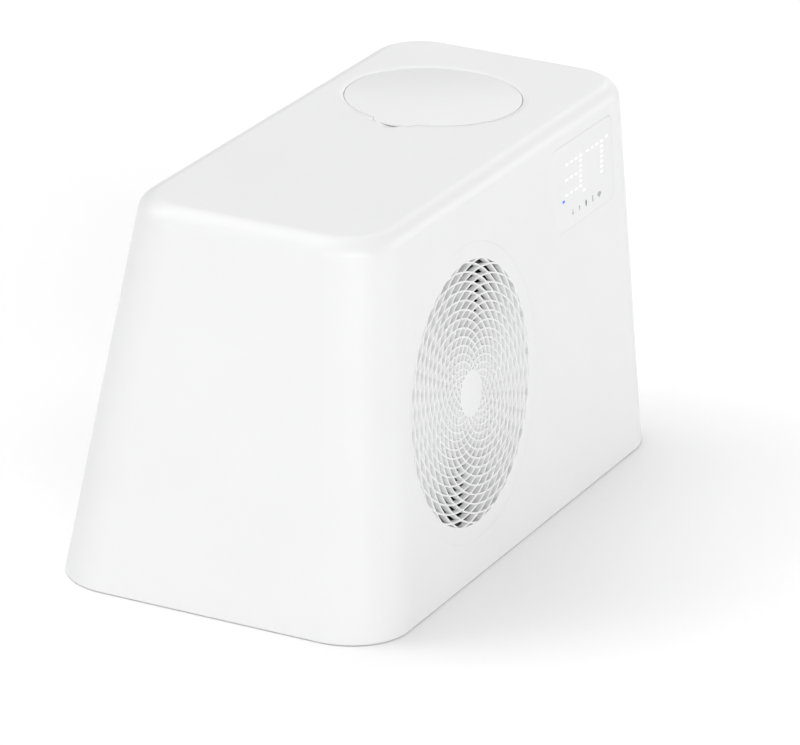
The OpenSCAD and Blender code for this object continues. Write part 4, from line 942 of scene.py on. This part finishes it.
@dataclass
class Grille(Dresser):
    """Fan outlet grille: two families of spiral ribs crossing between a hub and a rim.

    The pitch is that of the cells along the radius; rows counts them in half pitches from the
    centre, and per_side is the number of points along each side of a cell.
    """

    x: float = -0.1375
    up: float = 0.245
    bezel: float = 0.1985
    lattice: float = 0.1755
    hub: float = 0.0315
    arms: int = 20
    pitch: float = 0.0127
    rib: float = 0.0025
    depth: float = 0.0086
    round: float = 0.00055
    flange: float = 0.004
    roll: float = 0.0006
    seam: float = 0.0003
    sunk: float = 0.00003
    rows: tuple[int, int] = (4, 29)
    per_side: int = 5

    def cells(self) -> Solid:
        """The lattice as one skin, cell by cell, open at its two borders in the hub and the rim.

        A cell is a diamond in turn and radius, bounded by the middle lines of four ribs, which
        are straight there and spirals in the disc. Each cell carries half of every rib around
        it: across the top from the middle line, over a rounded edge, down the opening's wall
        and back below. A rib's half width along the radius is half its width times the root of
        one plus the square of the spiral's rate over the radius.

        Returns:
            The solid, its top at z = 0.
        """
        half, rate = self.pitch / 2, self.arms * self.pitch / (2 * math.pi)
        t = np.linspace(0, 1, self.per_side, endpoint=False)[None, :, None]
        corner = np.array([[0, -1], [1, 0], [0, 1], [-1, 0]], float)
        onward = np.roll(corner, -1, 0)
        path = (corner[:, None, :] * (1 - t) + onward[:, None, :] * t).reshape(-1, 2)
        row, k = np.meshgrid(np.arange(*self.rows), np.arange(self.arms), indexing="ij")
        radius = (row * half).reshape(-1, 1)
        turn = ((2 * k + (row + 1) % 2) * math.pi / self.arms).reshape(-1, 1)
        a = np.radians(90.0) * np.linspace(0, 1, 4)
        edge_in = self.round * (1 - np.sin(a))
        edge_z = -self.round * (1 - np.cos(a))
        inward = [None] + edge_in.tolist() + [0.0, None]
        height = [0.0] + edge_z.tolist() + [-self.depth, -self.depth]
        rings = []
        for push, z in zip(inward, height):
            r_mid = radius + path[:, 1] * half
            grow = np.sqrt(1 + (rate / r_mid) ** 2)
            scale = 1.0 if push is None else 1 - (self.rib / 2 - push) * grow / half
            r = radius + path[:, 1] * half * scale
            ang = turn + path[:, 0] * half / rate * scale
            rings.append(np.stack([r * np.cos(ang), r * np.sin(ang), np.full_like(r, z)], axis=-1))
        grid = np.stack(rings, axis=1)
        cells, rows_n, n = grid.shape[:3]
        base = (np.arange(cells) * rows_n * n)[:, None, None]
        kk, i = np.arange(rows_n - 1)[None, :, None], np.arange(n)[None, None, :]
        j = (i + 1) % n
        here, over = base + kk * n, base + (kk + 1) * n
        quads = np.stack([here + i, over + i, over + j, here + j], -1)
        solid = Solid()
        solid.add(grid.reshape(-1, 3), quads.reshape(-1, 4).tolist())
        return solid

    def build(self) -> None:
        """The lattice in place of the CAD's grille, then the hub's disc and the flanged rim."""
        place = BODY.on_front(self.x, self.up)
        below = np.array(Matrix.Translation((0, 0, -self.sunk)))
        lattice = self.cells().object("grille_lattice", place @ below, 50.0)
        # the lattice's finish paints light down the walls of its openings
        self.wear(lattice, White.LATTICE, "chassis", "fan_grille")
        roll, axis = self.roll, 0.0001
        a = np.radians(90.0) * np.linspace(0, 1, ROUND_STEPS)
        hub = [[axis, -self.depth], [self.hub, -self.depth], [self.hub, -roll]]
        hub += [[self.hub - roll + roll * math.cos(t), -roll + roll * math.sin(t)] for t in a]
        hub += [[axis, 0.0]]
        disc = Solid().loft(turned(np.array(hub), 96)).object("grille_hub", place)
        self.wear(disc, White.GRILLE, "chassis")
        inner, outer, seam, back = self.lattice, self.bezel, self.seam, -BODY.wall - BEHIND
        rim = [[inner + roll - roll * math.sin(t), -roll + roll * math.cos(t)] for t in a[::-1]]
        rim = rim[::-1] + [[inner, -self.depth], [outer + self.flange, -self.depth],
                           [outer + self.flange, back], [outer, back]]
        rim += [[outer - seam + seam * math.cos(t), -seam + seam * math.sin(t)] for t in a]
        ring = Solid().loft(turned(np.array(rim), 256), closed=True).object("grille_rim", place)
        self.wear(ring, White.GRILLE, "chassis")


@dataclass
class Display(Dresser):
    """Flush display window with its lit figures, status light and printed touch marks.

    Dots stand at columns and rows, which may be parts of one; second is the second figure's column.
    """

    x: float = 0.238
    up: float = 0.4285
    width: float = 0.193
    height: float = 0.117
    radius: float = 0.014
    gap: float = 0.00005
    col: float = 0.01505
    row: float = 0.0069
    left_in: float = 0.0448
    top_in: float = 0.0287
    second: float = 4.51
    slant: float = 0.0008
    dot: tuple[float, float] = (0.0071, 0.0022)
    light: tuple[float, float] = (0.0085, 0.0036)
    points: tuple[tuple[float, float], ...] = ((3.72, 7.3), (8.57, -0.32))
    status: tuple[float, float] = (-0.65, 6.9)
    root: float = 0.0002
    proud: float = 0.00015
    print_proud: float = 0.00008
    mark_pitch: float = 0.0214
    mark_left: float = 0.0565
    mark_up: float = 0.0185
    mark_size: float = 0.0045
    roll: float = 0.0002
    sag: float = 0.00015

    def window(self) -> bpy.types.Object:
        """The plate with a rolled rim, and its flange behind the wall.

        Returns:
            The plate.
        """
        flange, back = 0.004, BODY.wall + BEHIND
        a = np.radians(90.0) * np.linspace(0, 1, 4)
        grow = [flange, flange, 0.0] + (-self.roll * (1 - np.cos(a))).tolist()
        high = [-back - 0.003, -back, -back] + (-self.roll + self.roll * np.sin(a)).tolist()
        loops = [rounded_box(self.width + 2 * g, self.height + 2 * g, self.radius + g)
                 for g in grow]
        solid = Solid().loft(stack(loops, high))
        return solid.object("window_plate", BODY.on_front(self.x, self.up))

    def dots(self, name: str, places: Sequence[tuple[float, float]],
             size: tuple[float, float]) -> bpy.types.Object:
        """Oblong lit dots; each row stands a slant further left than the one above it.

        Args:
            name: the piece's name.
            places: columns and rows counted from the first figure's top left.
            size: length and height of a dot.

        Returns:
            The piece.
        """
        solid = Solid()
        shape = rounded_box(size[0], size[1], size[1] * 0.48, 6)
        for column, row in places:
            across = self.left_in + column * self.col - row * self.slant
            down = self.top_in + row * self.row
            centre = np.array([-self.width / 2 + across, self.height / 2 - down])
            solid.loft(stack([shape + centre, shape * 0.94 + centre], [-self.root, self.proud]))
        return solid.object(name, BODY.on_front(self.x, self.up))

    def mark_shapes(self) -> list[list[Array]]:
        """The shapes of arrow down, arrow up, lamp, bar and waves.

        Returns:
            The outlines of each mark, anticlockwise, in units of the marks' size.
        """
        arrow = np.array([[0.28, 1.0], [-0.28, 1.0], [-0.28, -0.1], [-0.8, -0.1],
                          [0, -1.0], [0.8, -0.1], [0.28, -0.1]])
        ang = np.linspace(0, 2 * math.pi, 20, endpoint=False)
        foot = 0.5 * (np.sin(ang) < -0.6)
        lamp = np.column_stack([0.62 * np.cos(ang), 0.78 * np.sin(ang) + 0.25 - foot])
        bar = rounded_box(0.7, 2.0, 0.2, 3)
        arc = np.radians(np.linspace(40, 140, 9))
        bow = np.column_stack([np.cos(arc), np.sin(arc)])
        waves = [np.concatenate([bow * (r + 0.15), bow[::-1] * (r - 0.15)]) * 1.25 - [0, 1.15]
                 for r in (0.4, 0.85, 1.3)]
        return [[arrow * 0.85], [(arrow * [1, -1])[::-1] * 0.8], [lamp], [bar], waves]

    def marks(self, name: str, chosen: Sequence[int]) -> bpy.types.Object:
        """Some of the touch marks, each a thin raised print.

        Args:
            name: the piece's name.
            chosen: places in the row, from 0 at the left.

        Returns:
            The piece.
        """
        solid = Solid()
        base = np.array([-self.width / 2 + self.mark_left, -self.height / 2 + self.mark_up])
        for place in chosen:
            for shape in self.mark_shapes()[place]:
                loop = shape * self.mark_size + base + [place * self.mark_pitch, 0]
                solid.loft(stack([loop, loop], [-self.root, self.print_proud]))
        return solid.object(name, BODY.on_front(self.x, self.up))

    def build(self) -> None:
        """Window, figures, points, status light, marks and the board behind."""
        self.wear(self.window(), White.WINDOW, "chassis", "display_window")
        rows, cols = range(7), range(4)
        three = [(c, r) for r in (0, 3, 6) for c in cols] + [(3, r) for r in (1, 2, 4, 5)]
        seven = [(c + self.second, 0) for c in cols] + [(3 + self.second, r) for r in rows if r]
        figures = self.dots("figure_dots", three + seven, self.dot)
        self.wear(figures, Skin.LIGHT, "chassis", "display_digits")
        self.wear(self.dots("point_dots", self.points, self.light), Skin.DIM_LIGHT, "chassis")
        status = self.dots("blue_dot", [self.status], self.light)
        self.wear(status, Skin.BLUE_LIGHT, "chassis", "status_light")
        self.wear(self.marks("touch_print", (2, 4)), Skin.PRINT, "chassis", "touch_marks")
        self.wear(self.marks("touch_print_pale", (0, 1, 3)), Skin.PALE_PRINT, "chassis")
        self.polish("display_board", Skin.BOARD)


@dataclass
class Shroud(Dresser):
    """One-piece moulded shroud with its openings and the lid's well.

    louvre is (x, height up the back face, width, height) and bay (x, z, width, height).
    """

    lid: Lid
    grille: Grille
    display: Display
    louvre: tuple[float, float, float, float] = (-0.1375, 0.232, 0.340, 0.300)
    louvre_corner: float = 0.012
    bay: tuple[float, float, float, float] = (0.220, 0.155, 0.210, 0.150)
    bay_corner: float = 0.014
    bay_back: float = 0.188
    gap: float = 0.00006
    pad: float = 0.0235
    floor_hole: float = 0.0963
    grille_room: float = 0.016

    def cut(self, skin: bpy.types.Object, outline: Array, low: float, high: float, place: Array,
            operation: str = "DIFFERENCE") -> None:
        """Cuts the skin with a straight solid, or joins the solid to it.

        Args:
            skin: the shroud.
            outline: the solid's outline, (n, 2).
            low: where the solid starts, along the Z of its place.
            high: where it ends.
            place: 4 by 4 matrix of its place.
            operation: DIFFERENCE or UNION.
        """
        carve(skin, prism(outline, low, high).object("cutter", place), operation)

    def circle(self, radius: float, count: int = 256) -> Array:
        """Outline of a circle."""
        a = np.linspace(0, 2 * math.pi, count, endpoint=False)
        return radius * np.column_stack([np.cos(a), np.sin(a)])

    def ball(self, radius: float, rows: int = 49, count: int = 72) -> Solid:
        """A sphere turned from a half circle, with a tiny flat at each pole.

        Args:
            radius: its radius.
            rows: points from pole to pole.
            count: points round it.

        Returns:
            The solid.
        """
        a = np.radians(np.linspace(-89.5, 89.5, rows))
        profile = np.column_stack([radius * np.cos(a), radius * np.sin(a)])
        return Solid().loft(turned(profile, count))

    def build(self) -> None:
        """Skins the outside and inside, adds the well and the scoop, and cuts every opening."""
        lid, wall, gap = self.lid, BODY.wall, self.gap
        skin = BODY.block(0.0, BODY.skirt).object("shroud_skin")
        carve(skin, BODY.block(wall, BODY.skirt - OVERRUN).object("inside"))
        floor = BODY.height - lid.well_depth
        top = BODY.height - wall / 2
        self.cut(skin, self.circle(lid.radius + lid.gap + wall), floor - wall, top,
                 lid.place(), "UNION")
        self.cut(skin, lid.outline(lid.gap + wall), lid.ledge - wall, top, lid.place(), "UNION")
        scoop_x = lid.x - lid.radius - lid.scoop_out
        scoop_z = BODY.height + lid.scoop_r - lid.scoop_depth
        scoop = np.array(Matrix.Translation((scoop_x, lid.y, scoop_z)))
        low = -lid.scoop_r - wall
        high = -lid.scoop_r + lid.scoop_depth - wall / 2
        self.cut(skin, self.circle(self.pad, 64), low, high, scoop, "UNION")
        carve(skin, lid.flare().object("flare", lid.place(BODY.height)))
        self.cut(skin, lid.outline(lid.gap), lid.ledge, BODY.height + OVERRUN, lid.place())
        self.cut(skin, self.circle(lid.well_in), floor, BODY.height, lid.place())
        self.cut(skin, self.circle(self.floor_hole), floor - 2 * wall, BODY.height, lid.place())
        carve(skin, self.ball(lid.scoop_r).object("scoop", scoop))
        front = BODY.on_front(self.grille.x, self.grille.up)
        self.cut(skin, self.circle(self.grille.bezel + gap), -self.grille_room, OVERRUN, front)
        d = self.display
        hole = rounded_box(d.width + 2 * d.gap, d.height + 2 * (d.gap + d.sag), d.radius)
        self.cut(skin, hole, -wall - OVERRUN, OVERRUN, BODY.on_front(d.x, d.up + d.sag))
        x, up, w, h = self.louvre
        hole = rounded_box(w + 2 * gap, h + 2 * gap, self.louvre_corner)
        self.cut(skin, hole, -wall - OVERRUN, OVERRUN, BODY.on_back(x, up))
        x, z, w, h = self.bay
        hole = rounded_box(w + 2 * gap, h + 2 * gap, self.bay_corner)
        inwards = Matrix.Translation((x, BODY.width / 2, z)) @ Matrix.Rotation(math.pi / 2, 4, "X")
        self.cut(skin, hole, 0.0, BODY.width / 2 - self.bay_back, np.array(inwards))
        skin.data.shade_smooth()
        skin.data.set_sharp_from_angle(angle=math.radians(28))
        soften(skin, 0.0003, 2, 40.0)
        self.wear(skin, White.SHROUD, "chassis", "shroud")


@dataclass
class Rack(Dresser):
    """A sub-assembly whose CAD nodes are polished one after the other."""

    finishes: dict[str, Enum] = field(default_factory=dict)

    def build(self) -> None:
        """Polishes each node on the chassis."""
        for node, finish in self.finishes.items():
            self.polish(node, finish)


@dataclass
class FanUnit(Rack):
    """Fan duct, rotor, motor and spider, seen dark through the grille and the louvre."""

    finishes: dict[str, Enum] = field(default_factory=lambda: {
        "fan_shroud": Skin.DUCT, "fan_motor": Skin.CAST, "motor_bracket": Skin.BRACKET})

    def build(self) -> None:
        """The rotor turns with its own body."""
        super().build()
        self.polish("fan_rotor", Skin.DUCT, "rotor", 0.0004)


@dataclass
class FilterUnit(Dresser):
    """Filter housing, cartridge and cap below the lid."""

    def build(self) -> None:
        """Polishes the cap's pieces on their bodies and the housing on the chassis."""
        self.polish("filter_housing", Skin.HOUSING, edge=0.0005)
        self.polish("filter_cartridge", Skin.FLEECE, angle=20.0)
        self.polish("filter_cap", Skin.DARK, "cap", 0.0009)
        self.polish("cap_seal", Skin.RUBBER, "cap")
        self.polish("bleed_screw", Skin.STEEL, "bleed", 0.0003)


@dataclass
class BackFittings(Dresser):
    """Intake louvre and the service bay with its ports, mains socket and switch."""

    def build(self) -> None:
        """Polishes each fitting with a soft moulded edge."""
        self.polish("intake_louvre", White.LOUVRE, edge=0.0005)
        self.polish("service_bay", White.BAY, edge=0.0006)
        for node in ("inlet_port", "outlet_port"):
            self.polish(node, Skin.DARK, edge=0.0004)
        self.polish("port_nuts", Skin.DARK, edge=0.0006)
        self.polish("power_inlet", Skin.SOCKET, edge=0.0003)
        self.polish("switch_housing", Skin.SOCKET, edge=0.0003)
        self.polish("rocker_switch", Skin.ROCKER, "rocker", 0.0005)


@dataclass
class Underframe(Dresser):
    """Base tray, feet, screws and the partition."""

    def build(self) -> None:
        """Polishes the tray's pieces."""
        self.polish("base_tray", Skin.TRAY, edge=0.0006)
        self.polish("rubber_feet", Skin.RUBBER, edge=0.0006)
        self.polish("tray_screws", Skin.ZINC, edge=0.0003)
        self.polish("bulkhead", Skin.TRAY)
        self.polish("pipe_grommets", Skin.RUBBER)


@dataclass
class ColdCircuit(Rack):
    """Condenser, compressor, pipes and heat exchanger."""

    finishes: dict[str, Enum] = field(default_factory=lambda: {
        "condenser_core": Skin.FINS, "condenser_fins": Skin.FINS, "condenser_brackets": Skin.TRAY,
        "compressor": Skin.CAN, "compressor_mounts": Skin.RUBBER, "compressor_nuts": Skin.ZINC,
        "terminal_cover": Skin.DARK, "accumulator": Skin.CAN, "discharge_pipe": Skin.COPPER,
        "liquid_pipe": Skin.COPPER, "suction_pipe": Skin.COPPER, "filter_drier": Skin.COPPER,
        "expansion_valve": Skin.BRASS, "heat_exchanger": Skin.BARREL, "exchanger_stand": Skin.TRAY})


@dataclass
class WaterCircuit(Rack):
    """Pump, hoses and clamps."""

    finishes: dict[str, Enum] = field(default_factory=lambda: {
        "pump_volute": Skin.DARK, "pump_motor": Skin.PUMP, "pump_base": Skin.DARK,
        "inlet_hose": Skin.HOSE, "pump_hose": Skin.HOSE, "exchanger_hose": Skin.HOSE,
        "outlet_hose": Skin.HOSE, "hose_clamps": Skin.ZINC})

    def build(self) -> None:
        """The impeller turns with its own body."""
        super().build()
        self.polish("pump_impeller", Skin.IMPELLER, "impeller")


@dataclass
class Controls(Rack):
    """Control box, its lid, board and capacitor."""

    finishes: dict[str, Enum] = field(default_factory=lambda: {
        "control_box": Skin.TRAY, "control_box_lid": Skin.TRAY, "control_board": Skin.BOARD,
        "run_capacitor": Skin.SLEEVE})


@dataclass(frozen=True)
class Lamp:
    """A broad soft sun: its strength, where it shines from and its width, angles in degrees."""

    name: str
    strength: float
    bearing: float
    height: float
    width: float = 40.0

    def towards(self) -> Vector:
        """Direction from the object to the lamp."""
        b, h = math.radians(self.bearing), math.radians(self.height)
        return Vector((math.cos(b) * math.cos(h), math.sin(b) * math.cos(h), math.sin(h)))


@dataclass
class Studio:
    """White floor, a ring of soft suns, an even sky and the camera at the photograph's place."""

    eye: Colour = (-6.53728, -3.15600, 3.03213)
    right: Colour = (0.439684, -0.897636, 0.030471)
    up: Colour = (0.315189, 0.185978, 0.930628)
    back: Colour = (-0.841032, -0.399578, 0.364697)
    lens: float = 262.71
    sky: float = 0.37
    floor_seen: float = 1.0
    floor_bounce: float = 0.80
    floor_half: float = 40.0
    lamps: tuple[Lamp, ...] = (
        Lamp("front_left", 1.56, 225.0, 13.0), Lamp("front_right", 0.87, 315.0, 12.0),
        Lamp("left", 0.52, 180.0, 12.0), Lamp("right", 0.29, 0.0, 12.0),
        Lamp("back_right", 0.26, 22.5, 35.0), Lamp("back_left", 0.66, 112.5, 35.0),
        Lamp("high_right", 0.60, 60.0, 62.0), Lamp("high_left", 0.45, 120.0, 62.0))

    def floor(self) -> None:
        """A plain floor that the camera sees white where the light falls freely."""
        graph = Graph("studio floor")
        path = graph.node("ShaderNodeLightPath").outputs
        kinds = ("Is Camera Ray", "Is Glossy Ray", "Is Transmission Ray")
        camera, glossy, through = [Value(graph, path[kind]) for kind in kinds]
        seen = graph.clamp(camera + glossy + through)
        level = (self.floor_seen,) * 3
        tint = graph.blend(graph.noise(3.0, 2.0), tone(level, 0.99), level)
        white = graph.node("ShaderNodeBsdfDiffuse", inputs={"Color": tint})
        bounce = (self.floor_bounce,) * 3 + (1.0,)
        plain = graph.node("ShaderNodeBsdfDiffuse", inputs={"Color": bounce})
        ends = {0: seen, 1: plain.outputs[0], 2: white.outputs[0]}
        mix = graph.node("ShaderNodeMixShader", inputs=ends)
        graph.feed(graph.output.inputs["Surface"], mix.outputs[0])
        half = self.floor_half
        corners = [(-half, -half, 0), (half, -half, 0), (half, half, 0), (-half, half, 0)]
        mesh = bpy.data.meshes.new("floor")
        mesh.from_pydata(corners, [], [(0, 1, 2, 3)])
        mesh.materials.append(graph.material)
        link("studio_floor", mesh)

    def sun(self, lamp: Lamp) -> None:
        """Puts one lamp in the scene.

        Args:
            lamp: the lamp.
        """
        light = bpy.data.lights.new(lamp.name, "SUN")
        light.energy, light.angle = lamp.strength, math.radians(lamp.width)
        made = bpy.data.objects.new(lamp.name, light)
        made.rotation_euler = lamp.towards().to_track_quat("Z", "Y").to_euler()
        bpy.context.scene.collection.objects.link(made)

    def build(self) -> None:
        """Floor, sky, suns and camera."""
        scene = bpy.context.scene
        scene.view_settings.view_transform = "Standard"
        self.floor()
        world = bpy.data.worlds.new("studio")
        world.use_nodes = True
        nodes, links = world.node_tree.nodes, world.node_tree.links
        back = nodes["Background"]
        back.inputs["Color"].default_value = (1, 1, 1, 1)
        path = nodes.new("ShaderNodeLightPath")
        mix = nodes.new("ShaderNodeMix")
        mix.inputs[2].default_value, mix.inputs[3].default_value = self.sky, 1.0
        links.new(path.outputs["Is Camera Ray"], mix.inputs[0])
        links.new(mix.outputs[0], back.inputs["Strength"])
        scene.world = world
        for lamp in self.lamps:
            self.sun(lamp)
        camera = bpy.data.cameras.new("camera")
        camera.lens, camera.sensor_width = self.lens, 36.0
        camera.clip_end = 200.0
        made = bpy.data.objects.new("camera", camera)
        turn = np.column_stack([self.right, self.up, self.back])
        made.matrix_world = Matrix.Translation(self.eye) @ Matrix(turn.tolist()).to_4x4()
        scene.collection.objects.link(made)
        scene.camera = made


def main() -> None:
    """Builds the chiller's sub-assemblies in order."""
    logging.basicConfig(level=logging.INFO, format="%(message)s")
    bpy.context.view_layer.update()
    lid, grille, display = Lid(), Grille(), Display()
    parts = [Shroud(lid, grille, display), lid, grille, display, FanUnit(), FilterUnit(),
             BackFittings(), Underframe(), ColdCircuit(), WaterCircuit(), Controls()]
    for part in parts:
        log.info("building %s", type(part).__name__)
        part.build()
    Studio().build()


if __name__ == "__main__":
    main()
